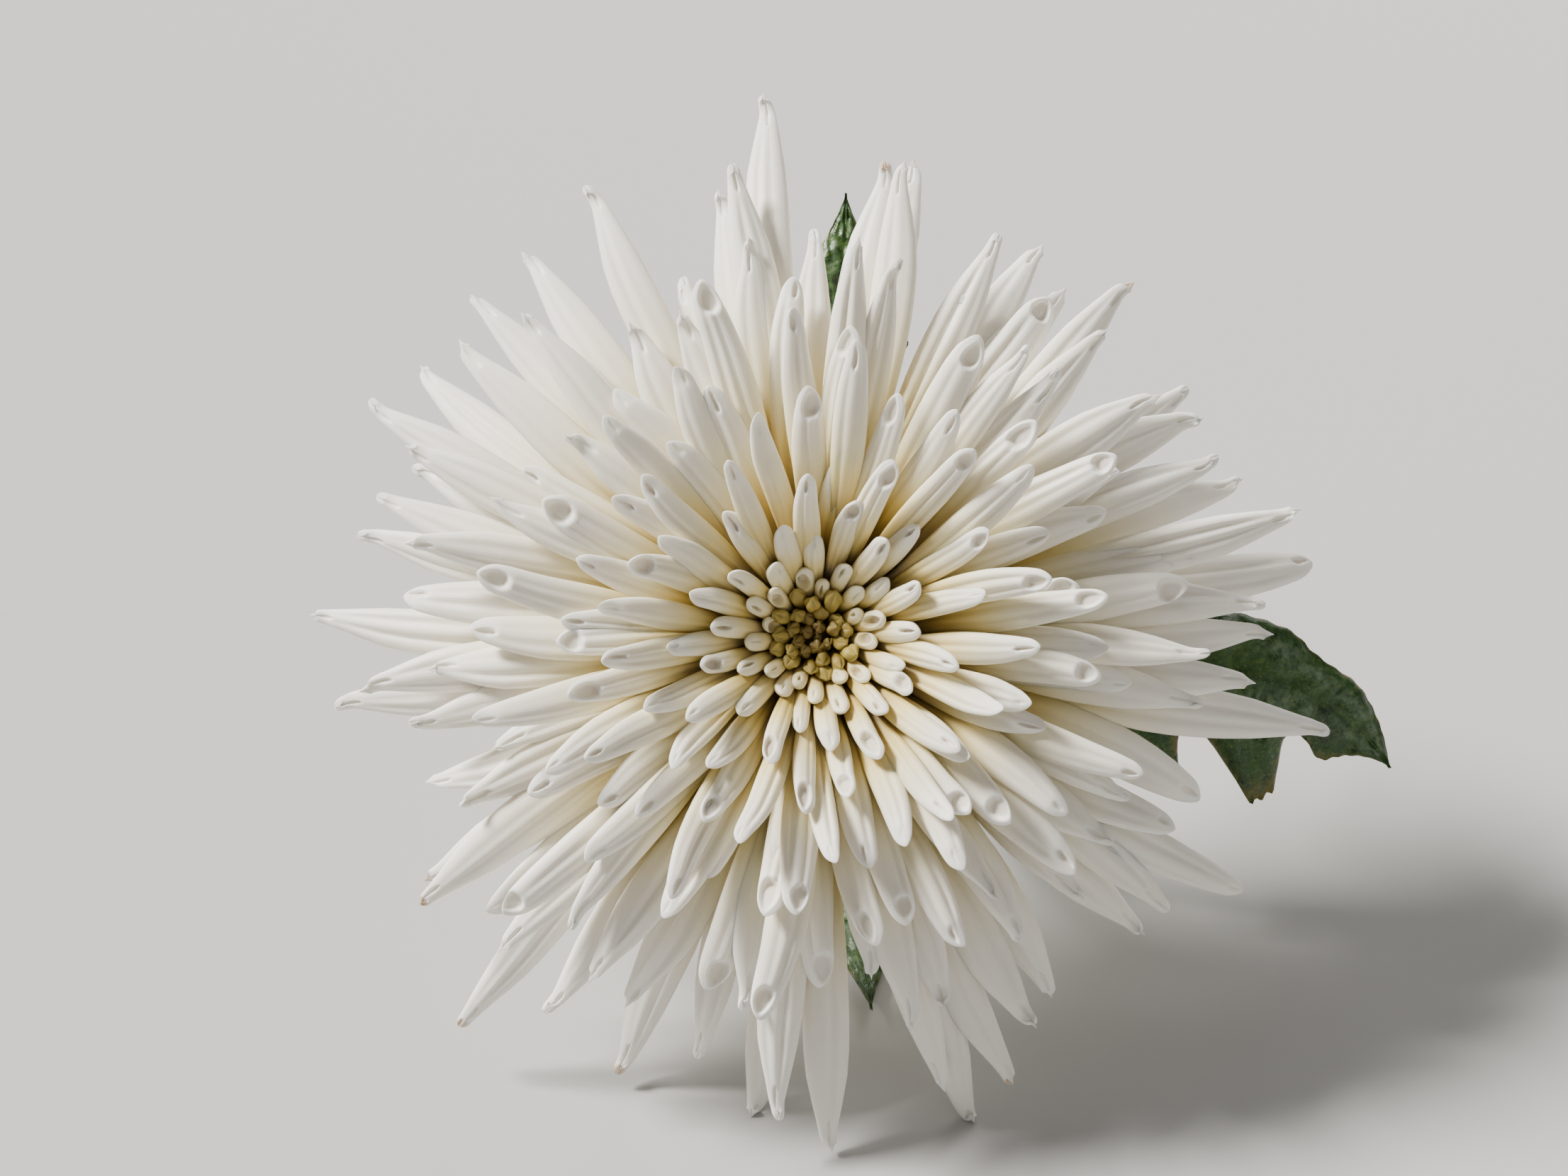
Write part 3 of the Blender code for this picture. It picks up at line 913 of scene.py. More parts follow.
@dataclass(frozen=True)
class TubeForm:
    """The fine surface of a floret: its grooves, its tip and its mouth.

    Attributes:
        sides: points round the tube.
        tip_rings: rings over the last stretch, where the mouth is.
        body_rings: rings over the rest.
        tip_zone: the length of that last stretch.
        seed: where the florets' own draws start.
    """

    sides: int = 32
    tip_rings: int = 22
    body_rings: int = 15
    tip_zone: float = 6.5 * MM
    seed: int = 90000

    def around(self) -> Array:
        """Angles round the tube, closer together on its upper side."""
        turn = around(self.sides)
        return turn + 0.38 * np.cos(turn)

    @staticmethod
    def tip_form(floret: Floret, draw: random.Random) -> TipForm:
        """How this floret's tip ends.

        Args:
            floret: the floret.
            draw: its own draws.

        Returns:
            The form of its tip.
        """
        if floret.share < 0.115:
            return TipForm.BUD
        if draw.random() < 0.94 * smooth(0.52, 0.80, floret.share):
            return TipForm.TEETH
        pick = draw.random()
        return TipForm.MOUTH if pick < 0.36 else TipForm.SLIT if pick < 0.66 else TipForm.HOOD

    def creases(self, along: Array, x: Array, y: Array, draw: random.Random) -> Array:
        """How far the tube's wall sinks along its lengthwise creases.

        Args:
            along: shares of the length, as a column.
            x: places across, from -1 to 1, as a row.
            y: places up, from -1 to 1, as a row.
            draw: the floret's own draws.

        Returns:
            Shares of the half depth, over the whole tube.
        """
        lean, spread = draw.uniform(-0.16, 0.16), draw.uniform(0.26, 0.44)
        deep, other = draw.uniform(0.16, 0.42), draw.uniform(0.2, 1.0)
        right, left = bell(x - lean - spread, 0.16), bell(x - lean + spread, 0.16)
        keel = 0.7 * bell(x - lean, 0.2)
        stretch = smooth(0.08, 0.34, along) * (1 - smooth(0.84, 0.985, along))
        return stretch * deep * np.where(y > 0, right + other * left, keel) * np.abs(y) ** 0.5

    @staticmethod
    def oval(gap: Array, across: Array, long: float, wide: float, off: float) -> Array:
        """Distances from the middle of a floret's mouth, 1 on its rim.

        Args:
            gap: distances from the tip, as a column.
            across: distances across the tube.
            long: half the mouth's length.
            wide: half its width.
            off: how far it sits to one side.

        Returns:
            An array over the whole tube.
        """
        narrower = wide * (1 + 0.32 * np.clip((gap - long) / long, -1, 1))
        sideways = (across - off) / np.maximum(narrower, 0.1 * MM)
        return np.sqrt(((gap - long - 0.5 * MM) / long) ** 2 + sideways**2)

    @staticmethod
    def axes(floret: Floret, along: Array, roll: Array) -> tuple[Array, ...]:
        """Which way the tube points.

        Args:
            floret: the floret.
            along: shares of its length.
            roll: how far it is turned about itself there, as a column.

        Returns:
            Its heading, its side and its upper side at those places.
        """
        step = 0.004
        heading = unit(floret.line(np.minimum(1, along + step)) - floret.line(np.maximum(0, along - step)))
        flat = unit(np.cross(UP, heading))
        side = flat * np.cos(roll) + np.cross(heading, flat) * np.sin(roll)
        return heading, side, np.cross(heading, side)

    def rings(self, floret: Floret) -> Tube:
        """The floret's surface in the world.

        Args:
            floret: the floret to shape.

        Returns:
            Points of shape (rings, sides, 3), and the surface values at them.
        """
        draw = random.Random(self.seed + floret.index)
        looks = TIP_LOOKS[self.tip_form(floret, draw)]
        opened = floret.opened()
        length = float(np.linalg.norm(floret.tip - floret.root))
        zone = min(self.tip_zone, 0.5 * length)
        near = zone * (np.arange(self.tip_rings + 1) / self.tip_rings) ** 1.3
        far = np.linspace(zone, length, self.body_rings + 1)[1:]
        from_tip = np.concatenate((near, far))[::-1]
        along, gap = 1 - from_tip / length, from_tip[:, None]
        column = along[:, None]
        twist = math.radians(draw.uniform(-20, 20)) * opened
        heading, side, up = self.axes(floret, along, floret.roll + twist * (column - 0.5))

        phi = self.around()
        x, y = np.cos(phi), np.sin(phi)
        girth = floret.girth(along)[:, None] * (1 + looks.flare * smooth(0.80, 1.0, column))
        half_width, half_depth = floret.width / 2 * girth, floret.thickness / 2 * girth
        nose = looks.blunt * half_width[-1, 0]
        closing = np.sqrt(np.clip(1 - (1 - np.minimum(1.0, gap / nose)) ** 2, 0.02, 1))
        wave = np.sin(column * draw.uniform(7, 13) + draw.uniform(0, 6)) * 0.04 * opened
        across = half_width * x * closing * (1 + wave)
        rise = half_depth * y * closing
        rise = rise - np.sign(y) * half_depth * opened * self.creases(column, x, y, draw)

        wide = looks.wide * draw.uniform(0.8, 1.15) * half_width[-self.tip_rings // 2, 0]
        long = looks.long * draw.uniform(0.75, 1.25) * MM * (0.7 + 0.3 * opened)
        oval = self.oval(gap, across, long, wide, draw.uniform(-0.45, 0.45) * half_width[-1, 0])
        upper = smooth(0.0, 0.25, y)
        rise = rise * (1 - upper * looks.slope * np.clip(1 - gap / (2 * long + 0.8 * MM), 0, 1))
        inside = upper * (1 - smooth(0.66, 0.97, oval)) * looks.depth
        rise = rise * (1 - inside) - 0.40 * half_depth * closing * inside
        rim = upper * bell(oval - 1.08, 0.14)
        rise = rise + looks.lip * MM * rim

        bend = opened * smooth(0.72, 1.0, column) ** 1.5
        rise = rise + draw.uniform(-0.3, 1.3) * MM * bend
        across = across + draw.uniform(-0.9, 0.9) * MM * bend
        hook = np.clip(1 - gap / (2.4 * MM), 0, 1) ** 2 * looks.hook
        rise = rise + draw.uniform(0.0, 1.3) * MM * hook
        across = across + draw.uniform(-0.7, 0.7) * MM * hook
        teeth, start = draw.choice((1.0, 1.5, 2.0)), draw.uniform(-0.5, 0.5)
        push = looks.teeth * MM * np.cos(math.pi * teeth * x + start) * np.clip(1 - gap / (1.1 * MM), 0, 1)
        ring = swept(floret.line(along), (side, across), (up, rise), (heading, push))
        world = LIE.place(ring)
        low = world[..., 2].min(axis=1)
        world[..., 2] += (LIE.settled(low) - low)[:, None]

        # Pale: the florets' own yellow turning white further out, held at 0.85 so the shafts stay cream
        # against the tips; that cream is partly their own tone and partly painted shade.
        pale = smooth(11 * MM, 58 * MM, np.linalg.norm(ring, axis=-1)) * 0.85
        fresh = smooth(0.30, 1.0, column) * (0.50 + 0.38 * smooth(0.04, 0.30, floret.share))
        # White: painted highlight on the last few millimetres of each opened floret's tip and on its mouth
        # rim.
        white = opened * np.maximum(0.75 * (1 - smooth(0.8 * MM, 5.0 * MM, gap)), 0.9 * rim)
        young = 1 - smooth(0.13, 0.55, floret.share)
        burnt = draw.random() < 0.30 * smooth(0.7, 1.0, floret.share)
        return world, {
            "along": column,
            "across": x,
            "tint": draw.random(),
            # Paleness along the colour ramp, with the painted highlight and painted shade in it.
            "paleness_and_highlight": np.clip(1 - (1 - pale) * (1 - fresh) * (1 - white), 0, 1),
            # The mouth value is painted shade inside the mouth, stronger on the younger florets near the
            # middle.
            "mouth": upper * (1 - smooth(0.5, 0.95, oval)) * np.minimum(0.9, looks.dark * (1 + 3.6 * young)),
            "scorch": (1 - smooth(0.1 * MM, 1.0 * MM, gap)) * float(burnt),
        }


@dataclass
class RayWhorl(Part):
    """One whorl of opened florets, from one place in the spiral to another."""

    first: int
    last: int
    form: TubeForm = field(default_factory=TubeForm)
    cell_shape: ClassVar[float] = 3.6

    def tubes(self) -> list[Tube]:
        """Every floret of the whorl."""
        return [self.form.rings(RULE.floret(index)) for index in range(self.first, self.last)]


@dataclass
class Dome(Part):
    """A smooth squat ball cut flat above and below, which florets grow from."""

    radius: float
    height: float
    top: float
    foot: float
    centre: float = 0.0
    sides: int = 48
    levels: int = 24

    def tubes(self) -> list[Tube]:
        """The dome, as one tube.

        Returns:
            The rings in the world and the surface values of that tube.
        """
        low, high = (math.asin(cut / self.height) for cut in (self.foot, self.top))
        level = np.linspace(low, high, self.levels)
        out, up = self.radius * np.maximum(np.cos(level), 0.02), self.height * np.sin(level) + self.centre
        plain = {"along": 0.0, "across": 0.0, "tint": 0.5, "paleness_and_highlight": 0.12, "mouth": 0.0, "scorch": 0.0}
        return [(turned(out, up, self.sides), {**plain, "core": 1.0})]


@dataclass
class DiscBuds(Part):
    """The small lumpy buds in the middle of the bloom."""

    sides: int = 24
    levels: int = 18
    seed: int = 40000
    cell_shape: ClassVar[float] = 2.0

    def tubes(self) -> list[Tube]:
        """Every bud."""
        return [self._bud(RULE.floret(index)) for index in range(RULE.disc_buds)]

    def _bud(self, floret: Floret) -> Tube:
        """Shapes one bud.

        Args:
            floret: the floret that hasn't opened.

        Returns:
            Its rings in the world and its surface values.
        """
        draw = random.Random(self.seed + floret.index)
        along = np.linspace(0, 1, self.levels) ** 0.8
        column = along[:, None]
        heading = unit(floret.tip - floret.root)
        side = unit(np.cross(UP, heading))
        up = np.cross(heading, side)
        lean = (side * draw.uniform(-0.5, 0.5) + up * draw.uniform(-0.5, 0.5)) * MM
        middle = floret.line(along) + lean * smooth(0.4, 1, column)
        middle = middle + heading * draw.uniform(-0.7, 0.3) * MM * column
        phi = around(self.sides)
        lobes, turn = draw.choice((3, 3, 4, 5)), draw.uniform(0, 6)
        swell = 0.50 + 0.66 * smooth(0.2, 0.80, column)
        closing = np.sqrt(np.clip(1 - smooth(0.74, 1.0, column) ** 1.6, 0.03, 1))
        facet = np.abs(np.cos(lobes * (phi + turn) / 2)) - 0.55
        radius = floret.width / 2 * swell * closing * (1 + 0.42 * facet * smooth(0.4, 0.9, column))
        squash = draw.uniform(0.62, 1.0)
        dent = 0.30 * MM * (1 - smooth(0.0, 0.35, facet + 0.55)) * smooth(0.7, 0.9, column)
        x, y = np.cos(phi), np.sin(phi)
        ring = swept(middle, (side, radius * x), (up, radius * y * squash), (heading, -dent))
        # Darker for the innermost buds, partly their own colour and partly painted shade of the bloom's
        # middle.
        core = 1 - smooth(0.0, 0.085, floret.share)
        return LIE.place(ring), {"along": column, "tint": draw.random(), "across": x, "core": core}


@dataclass
class CalyxCup(Part):
    """The green cup under the florets, by its outline from its foot to its hollow."""

    profile: tuple = (
        (3.0, -14.2), (3.6, -13.2), (6.6, -11.0), (9.4, -7.6),
        (10.1, -4.3), (9.3, -3.7), (8.2, -4.9), (6.4, -6.3),
    )
    blur: tuple = (0.1, 0.2, 0.4, 0.2, 0.1)
    levels: int = 60
    sides: int = 66

    def tubes(self) -> list[Tube]:
        """The cup, as one tube.

        Returns:
            The rings in the world and the surface values of that tube.
        """
        outline = np.array(self.profile) * MM
        steps = np.concatenate(((0.0,), np.cumsum(np.linalg.norm(np.diff(outline, axis=0), axis=1))))
        even = np.linspace(0, steps[-1], self.levels)
        out, up = (
            np.convolve(np.pad(np.interp(even, steps, part), 2, mode="edge"), self.blur, mode="valid")
            for part in outline.T
        )
        along = np.linspace(0, 1, self.levels)[:, None]
        values = {"along": along, "across": around(self.sides), "tint": 0.5, "edge": 0.0}
        return [(turned(out, up, self.sides), values)]


@dataclass
class CalyxBracts(Part):
    """The two rows of bracts round the cup, by how far out and up their roots and tips are."""

    rows: tuple = ((9.2, -7.2, 12.8, -4.7), (7.2, -10.2, 11.4, -8.2))
    bracts_a_row: int = 11
    bract_width: float = 5.0 * MM
    bract_thickness: float = 0.9 * MM
    sides: int = 20
    levels: int = 18
    seed: int = 500
    row_seed: int = 50

    def tubes(self) -> list[Tube]:
        """Every bract, row by row."""
        count = self.bracts_a_row
        return [self._bract(row, index) for row in range(len(self.rows)) for index in range(count)]

    def _bract(self, row: int, index: int) -> Tube:
        """Shapes one bract.

        Args:
            row: which row it is in.
            index: its place in that row.

        Returns:
            Its rings in the world and its surface values.
        """
        draw = random.Random(self.seed + row * self.row_seed + index)
        root_out, root_up, tip_out, tip_up = (value * MM for value in self.rows[row])
        azimuth = 2 * math.pi * (index + 0.5 * (row % 2)) / self.bracts_a_row
        along = np.linspace(0, 1, self.levels)
        out = root_out + (tip_out - root_out) * along - 1.6 * MM * (1 - along)
        up = root_up + (tip_up - root_up) * along + 0.5 * MM * np.sin(along * math.pi)
        facing = np.array((math.cos(azimuth), math.sin(azimuth), 0.0))
        side = np.array((-facing[1], facing[0], 0.0))
        wide = np.interp(along, (0, 0.55, 1), (0.7, 1.0, 0.22)) * np.where(along > 0.97, 0.6, 1)
        face = unit(UP * (tip_out - root_out) - facing * (tip_up - root_up))
        phi = around(self.sides)
        x = np.cos(phi)
        half = (self.bract_width / 2 * wide)[:, None]
        thick = self.bract_thickness / 2 * (1 - 0.45 * smooth(0.5, 1, along))[:, None]
        keel = 0.18 * MM * bell(x, 0.22) * (np.sin(phi) < 0)
        depth = thick * np.sin(phi) + 0.10 * half * x**2 - keel
        ring = swept(facing * out[:, None] + UP * up[:, None], (side, half * x), (face, depth))
        column = along[:, None]
        edge = np.maximum(smooth(0.78, 0.98, np.abs(x)) * smooth(0.1, 0.5, column), smooth(0.88, 1, column))
        return LIE.place(ring), {"along": column, "across": x, "tint": draw.random(), "edge": edge}


@dataclass(frozen=True)
class LeafPlace:
    """Where one leaf grows and how it bends, in millimetres and degrees.

    Attributes:
        node: the leaf's solid.
        down: how far down the stem it grows.
        turn: on which side of the stem.
        bend: the point that the midrib bends towards, in the bloom's frame.
        tip: where it ends, in the bloom's frame.
        half_width: the blade's reach to each side.
        lopsided: the share by which one half is the wider one half way up.
        upper_lobes: how deep the lobes of its other half are cut, as a share of the wider one's.
    """

    node: str
    down: float
    turn: float
    bend: tuple[float, float, float]
    tip: tuple[float, float, float]
    half_width: float
    lopsided: float
    upper_lobes: float = 1.0


LEAVES = (
    LeafPlace("leaf_right", 9.0, 0, (64.0, 5.0, -10.5), (80.0, -18.5, -24.0), 16.0, 0.40, 0.4),
    LeafPlace("leaf_upper_left", 21.0, 137, (-22.0, 21.0, -24.5), (-38.0, 37.0, -34.0), 14.0, 0.08),
    LeafPlace("leaf_lower", 31.0, -80, (5.0, -28.0, -47.0), (8.0, -51.0, -16.5), 13.0, -0.10),
    LeafPlace("leaf_upper", 43.0, 80, (4.3, 35.3, -37.0), (5.0, 63.0, -42.0), 12.0, 0.05),
    LeafPlace("leaf_back", 57.0, 205, (-23.3, 6.8, -66.8), (-44.0, 20.0, -72.0), 13.0, -0.06),
)


@dataclass(frozen=True)
class StemLine:
    """The curve that the stem follows, the same as in the solid model."""

    start: float = 14.5 * MM
    radius: float = 3.0 * MM
    length: float = 92.0 * MM
    end_tilt: float = math.radians(5)
    steps: int = 60

    def angle(self, down: float) -> float:
        """How steeply the stem falls, a length down from the cup."""
        first = math.pi / 2 - LIE.face_tilt
        return first + (self.end_tilt - first) * float(smooth(-0.05, 1.2, down / self.length))

    def heading(self, down: float) -> Array:
        """Which way the stem runs, a length down from the cup."""
        angle = self.angle(down)
        return np.array((0, math.cos(angle), -math.sin(angle)))

    def point(self, down: float) -> Array:
        """The stem's middle, a length down from the cup.

        Args:
            down: the length.

        Returns:
            The point there.
        """
        place = LIE.place(np.array((0.0, 0.0, -self.start)))
        for i in range(self.steps):
            place = place + self.heading(down * (i + 0.5) / self.steps) * down / self.steps
        place[2] = float(LIE.settled(place[2] - self.radius)) + self.radius
        return place


STEM = StemLine()


@dataclass
class Stem(Part):
    """The ribbed stem with its swollen joints and its slanting cut."""

    ridges: int = 7
    groove: float = 0.86
    swelling: float = 1.16
    cut_slant: float = math.radians(32)
    cut_back: float = 3.0 * MM
    cut_face: tuple = (
        (1.0, 0.0), (0.97, -0.05), (0.86, 0.05), (0.72, 0.02), (0.55, 0.16), (0.35, 0.22), (0.15, 0.24),
    )
    fibre_length: float = 9.0
    sides: int = 56
    levels: int = 150

    def tubes(self) -> list[Tube]:
        """The stem, as one tube with its cut end.

        Returns:
            The rings in the world and the surface values of that tube.
        """
        whole = STEM.length - self.cut_back
        end, heading = STEM.point(whole), STEM.heading(whole)
        c, s = math.cos(self.cut_slant), math.sin(self.cut_slant)
        slant = np.array((heading[0], c * heading[1] - s * heading[2], s * heading[1] + c * heading[2]))
        last = whole - STEM.radius * math.tan(self.cut_slant) - 0.6 * MM
        down = np.linspace(0, last, self.levels)
        middle = np.stack([STEM.point(float(d)) for d in down])
        ahead = unit(np.gradient(middle, axis=0))
        side = np.eye(3)[0]
        phi = around(self.sides)
        rib = 0.5 + 0.5 * np.cos(self.ridges * phi)
        joint = np.zeros(self.levels)
        for leaf in LEAVES:
            joint = np.maximum(joint, 1 - smooth(0, 4.5 * MM, np.abs(down - leaf.down * MM)))
        uneven = (1 + (self.swelling - 1) * joint) * (1 + 0.012 * np.sin(down / (9 * MM)))
        radius = STEM.radius * (self.groove + (1 - self.groove) * rib) * uneven[:, None]
        rings = swept(middle, (side, radius * np.cos(phi)), (np.cross(ahead, side), radius * np.sin(phi)))

        on_cut = rings[-1] + ahead[-1] * (((end - rings[-1]) @ slant) / (ahead[-1] @ slant))[:, None]
        centre = on_cut.mean(0)
        caps = [on_cut]
        for part, sink in self.cut_face:
            caps.append(centre + (on_cut - centre) * part - ahead[-1] * sink * MM)
        wall, face = (self.levels, self.sides), (len(caps), self.sides)
        parts = np.array((1.0, *(part for part, _ in self.cut_face)))[:, None]
        cut = (np.arange(len(caps)) > 0)[:, None]
        values = {
            "along": (down[:, None] / STEM.length * self.fibre_length, self.fibre_length),
            "across": (phi / (2 * math.pi), 0.0),
            "rib": (rib, 0.5),
            "joint": (joint[:, None], 0.0),
            "cut": (0.0, cut),
            "pith": (1.0, parts),
        }
        for name, (on_wall, on_face) in values.items():
            values[name] = np.concatenate((np.broadcast_to(on_wall, wall), np.broadcast_to(on_face, face)))
        rings = np.concatenate((rings, np.stack(caps)))
        rings[..., 2] = np.maximum(rings[..., 2], LIE.clear)
        return [(rings, values)]


@dataclass
class Leaf(Part):
    """One lobed leaf, with its veins, its toothed edge and its petiole."""

    place: LeafPlace
    petiole_share: float = 0.22
    petiole_half_width: float = 1.1 * MM
    petiole_thickness: float = 1.9 * MM
    rib_thickness: float = 1.3 * MM
    blade_thickness: float = 0.7 * MM
    vein_lean: float = math.radians(58)
    lobes: float = 3.0
    lobe_depth: float = 0.45
    swelling: float = 1.16
    seat_gap: float = 0.3 * MM
    rows: int = 110
    columns: int = 34
    seed: int = 7000

    def line(self, along: Array) -> Array:
        """The petiole and the midrib in the world.

        Args:
            along: shares of the way from the stem to the tip.

        Returns:
            The points there.
        """
        down = self.place.down * MM
        heading, turn = STEM.heading(down), math.radians(self.place.turn)
        out = LIE.heading(np.array((math.cos(turn), math.sin(turn), 0.0)))
        out = unit(out - heading * (out @ heading))
        start = STEM.point(down) + out * (STEM.radius * self.swelling + self.seat_gap)
        bend = LIE.place(np.array(self.place.bend) * MM)
        tip = LIE.place(np.array(self.place.tip) * MM)
        t = along[:, None]
        return start * (1 - t) ** 2 + bend * 2 * t * (1 - t) + tip * t**2

    def reach(self, blade: Array, depth: float) -> Array:
        """How far the blade reaches to a side.

        Args:
            blade: shares of the way up the blade.
            depth: how deep its lobes are cut.

        Returns:
            Lengths in metres.
        """
        inside = np.clip(blade, 0, 1)
        body = np.clip(np.sin(math.pi * inside**0.5), 0, 1) ** 1.1
        wave = smooth(0, 0.85, 0.5 - 0.5 * np.cos(2 * math.pi * (inside**0.75 * self.lobes - 0.08)))
        cut = smooth(0.02, 0.10, inside) * (1 - smooth(0.60, 0.75, inside))
        teeth = 1 - 0.035 * np.sin(inside * math.pi * 19) ** 2 * smooth(0.05, 0.2, inside)
        return self.place.half_width * MM * body * (1 - depth * (1 - wave) * cut) * teeth

    def veins(self, t: Array, a: Array) -> Array:
        """How strong the midrib and the side veins are.

        Args:
            t: shares of the way up the blade.
            a: places across it, from -1 to 1.

        Returns:
            1 on a vein's middle and 0 away from it.
        """
        to_lobes = [((k + 0.58) / self.lobes) ** (4 / 3) for k in range(3)]
        to_bays = [((k + 0.08) / self.lobes) ** (4 / 3) for k in range(1, 3)] + [0.70, 0.90]
        taper = 1 - 0.75 * np.abs(a)
        vein = bell(a, 0.035 + 0.02 * (1 - t))
        for place in to_lobes:
            vein = np.maximum(vein, bell(t - place, 0.013) * taper)
        for place in to_bays:
            vein = np.maximum(vein, 0.6 * bell(t - place + 0.03, 0.010) * taper)
        return vein * smooth(0.0, 0.05, t)

    @staticmethod
    def wrapped(above: Array, below: Array) -> Array:
        """The leaf's upper side joined to its lower one round the edge."""
        return np.concatenate((above, below[:, ::-1]), axis=1)[:, ::-1]

    def tubes(self) -> list[Tube]:
        """The leaf, as one flat tube from its petiole to its tip.

        Returns:
            The rings in the world and the surface values of that tube.
        """
        draw = random.Random(self.seed + round(self.place.down))
        along = np.linspace(0, 1, self.rows)
        step = 0.01
        ahead = unit(self.line(np.minimum(1, along + step)) - self.line(np.maximum(0, along - step)))
        side = unit(np.cross(ahead, LIE.heading(UP)))
        face = np.cross(side, ahead)
        blade_at = (along - self.petiole_share) / (1 - self.petiole_share)
        stalk = self.petiole_half_width * (1 - smooth(0.7, 1, along) * 0.8)
        wider, other = (
            np.maximum(self.reach(blade_at, self.lobe_depth * share), stalk)[:, None]
            for share in (1.0, self.place.upper_lobes)
        )
        blade = smooth(-0.02, 0.10, blade_at)[:, None]
        rib = self.petiole_thickness
        rib = rib + (self.rib_thickness - rib) * smooth(0, self.petiole_share, along)
        rib = (rib + (self.blade_thickness - self.rib_thickness) * smooth(0.5, 1, along))[:, None]
        spread = np.linspace(-1, 1, self.columns)[None, :]
        a = np.sign(spread) * np.abs(spread) ** 0.9
        lopsided = 1 + self.place.lopsided * a * 2 * (1 - np.maximum(0, blade_at))[:, None]
        wide = np.where(a < 0, other, wider) * lopsided
        forward = np.abs(a) * wide * math.cos(self.vein_lean) * blade
        sideways = a * wide * (1 - blade * (1 - math.sin(self.vein_lean)))
        droop = (0.30 * np.abs(a) - 0.44 * a**2) * wide * blade
        thick = rib + (self.blade_thickness - rib) * blade * smooth(0, 0.55, np.abs(a))
        thick = thick * (1 - 0.45 * smooth(0.6, 1, np.abs(a)) * blade)

        t = blade_at[:, None] * np.ones_like(a)
        vein = self.veins(t, a)
        puff = np.sin(t * 52 + draw.uniform(0, 6)) * np.sin(a * 11 + 2 * t + draw.uniform(0, 6))
        ripple = np.sin(t * 21 + draw.uniform(0, 6)) * a**2 * np.sign(a) * 0.55 * MM
        bulge = (0.20 * MM * puff * (1 - vein) + ripple) * blade * (1 - np.abs(a) ** 6)
        sheet = swept(self.line(along), (ahead, forward), (side, sideways), (face, droop + bulge))
        sheet[..., 2] = LIE.settled(sheet[..., 2] - thick) + thick
        upper = sheet + face[:, None, :] * (thick / 2 - 0.36 * MM * vein * blade)[..., None]
        lower = sheet - face[:, None, :] * (thick / 2 + 0.16 * MM * vein * blade)[..., None]
        lower[..., 2] = np.maximum(lower[..., 2], LIE.clear)
        edge = smooth(0.84, 1.0, np.abs(a)) * blade
        # Painted sheen: grey bands on each side of the midrib, on the upper side only, in place of the
        # leaf's reflections.
        painted_sheen = bell(np.abs(a) - 0.42, 0.20) * smooth(0.08, 0.25, t) * (1 - smooth(0.90, 1.0, t))
        values = {"vein": (vein, vein), "under": (0.0, 0.75), "painted_sheen": (painted_sheen, 0.0), "edge": (edge, edge)}
        for name, sides in values.items():
            values[name] = self.wrapped(*(np.broadcast_to(value, t.shape) for value in sides))
        return [(self.wrapped(upper, lower), values)]


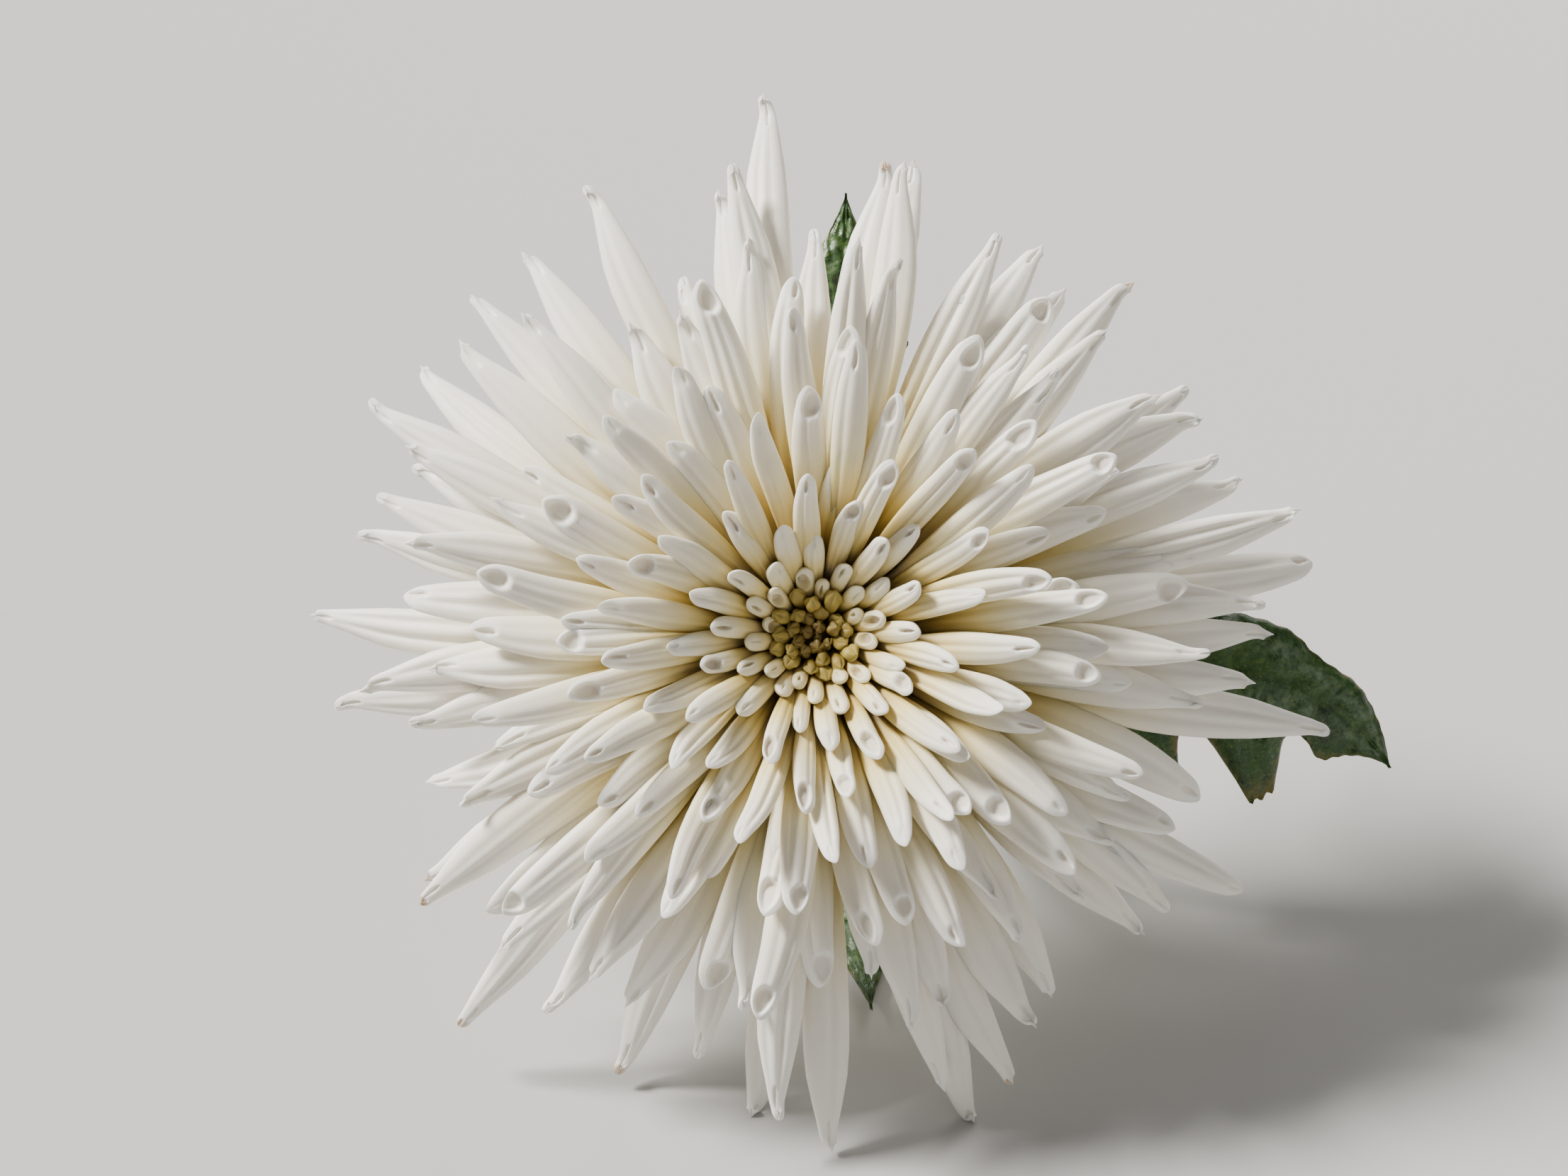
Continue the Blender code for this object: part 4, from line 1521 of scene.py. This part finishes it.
@dataclass
class Studio:
    """The pale surface, the soft lights and the camera."""

    distance: float = 0.45
    lens: float = 78.5
    shift: tuple[float, float] = (-3.9 * MM, 6.3 * MM)
    far: float = 40.0
    sky: Stops = (
        (0.0, (1.0, 0.98, 0.96)), (0.05, (0.70, 0.685, 0.665)), (0.22, (0.22, 0.213, 0.204)),
        (1.0, (0.19, 0.184, 0.176)),
    )

    def floor(self, material: Material) -> None:
        """Lays the surface that the flower lies on.

        Args:
            material: the surface's finish.
        """
        mesh = bpy.data.meshes.new("surface")
        corners = [(x * self.far, y * self.far, 0) for x, y in ((-1, -1), (1, -1), (1, 1), (-1, 1))]
        mesh.from_pydata(corners, [], [(0, 1, 2, 3)])
        mesh.materials.append(material)
        floor = stand("surface", mesh)

    def camera(self) -> None:
        """Looks straight into the bloom's face, framed as in the photograph."""
        data = bpy.data.cameras.new("camera")
        data.lens = self.lens
        data.clip_start, data.clip_end = 0.01, 100
        eye = stand("camera", data)
        eye.location = Vector(LIE.place(np.array((*self.shift, self.distance))))
        eye.rotation_euler = (LIE.face_tilt, 0, 0)
        bpy.context.scene.camera = eye

    def lamp(self, kind: str, name: str, at: tuple, size: float, power: float, colour: tuple) -> None:
        """Adds one soft lamp that faces the bloom.

        Args:
            kind: AREA for a square lamp at its place, SUN for a far one in that direction.
            name: the lamp's name.
            at: its place.
            size: its side, or the angle that a far one fills.
            power: its power in watts, or in watts a square metre for a far one.
            colour: the colour of its light.
        """
        data = bpy.data.lights.new(name, kind)
        data.energy, data.color = power, colour
        setattr(data, "angle" if kind == "SUN" else "size", size)
        lamp = stand(name, data)
        lamp.location = at
        aim = Vector(LIE.head_at) - Vector(at)
        lamp.rotation_euler = aim.to_track_quat("-Z", "Y").to_euler()

    def lights(self) -> None:
        """Sets the key light at the upper left, a fill, a rim light and the sky."""
        self.lamp("SUN", "key", (-0.50, 0.16, 0.55), math.radians(14), 9.8, (1.0, 0.96, 0.90))
        self.lamp("AREA", "fill", (0.60, -0.45, 0.45), 0.60, 0.8, (1.0, 0.96, 0.90))
        self.lamp("AREA", "rim", (0.25, 0.70, 0.50), 0.40, 2.8, (1.0, 0.98, 0.95))
        world = bpy.data.worlds.new("sky")
        world.use_nodes = True
        w = Wiring(world.node_tree)
        level = w.add("SeparateXYZ", {0: w.add("TexCoord").outputs["Generated"]}).outputs[2]
        w.give(world.node_tree.nodes["Background"].inputs[0], w.ramp(level, self.sky))
        bpy.context.scene.world = world


def main() -> None:
    """Builds the dressed flower and the studio round it."""
    logging.basicConfig(level=logging.INFO, format="%(name)s: %(message)s")
    groups = EffectGroups()
    petal, bud = FloretFinish(groups).build(), BudFinish(groups).build()
    green, leaf, stem = CalyxFinish(groups).build(), LeafFinish(groups).build(), StemFinish(groups).build()
    rays, buds = ("ray_florets", "ray_florets"), ("disc_buds", "disc_buds")
    for part, material in (
        (RayWhorl("florets_inner", *rays, RULE.disc_buds, 70), petal),
        (RayWhorl("florets_middle", *rays, 70, 135), petal),
        (RayWhorl("florets_outer", *rays, 135, 200), petal),
        (RayWhorl("florets_rim", *rays, 200, RULE.florets), petal),
        (Dome("receptacle", *rays, 8.6 * MM, 9.0 * MM, 6.7 * MM, -6.0 * MM), petal),
        (DiscBuds("disc_bud_cluster", *buds), bud),
        (Dome("disc", *buds, 2.8 * MM, 1.9 * MM, 1.9 * MM, 0.0, 7.0 * MM), bud),
        (CalyxCup("calyx_cup", "calyx", "calyx"), green),
        (CalyxBracts("calyx_bracts", "calyx", "calyx"), green),
        (Stem("stem_fine", "stem", "stem"), stem),
        *((Leaf(place.node + "_blade", place.node, "leaves", place), leaf) for place in LEAVES),
    ):
        piece = part.build(material)
        LOG.info("%s: %d faces", piece.name, len(piece.data.polygons))
    studio = Studio()
    studio.floor(FloorFinish(groups).build())
    studio.lights()
    studio.camera()


if __name__ == "__main__":
    main()
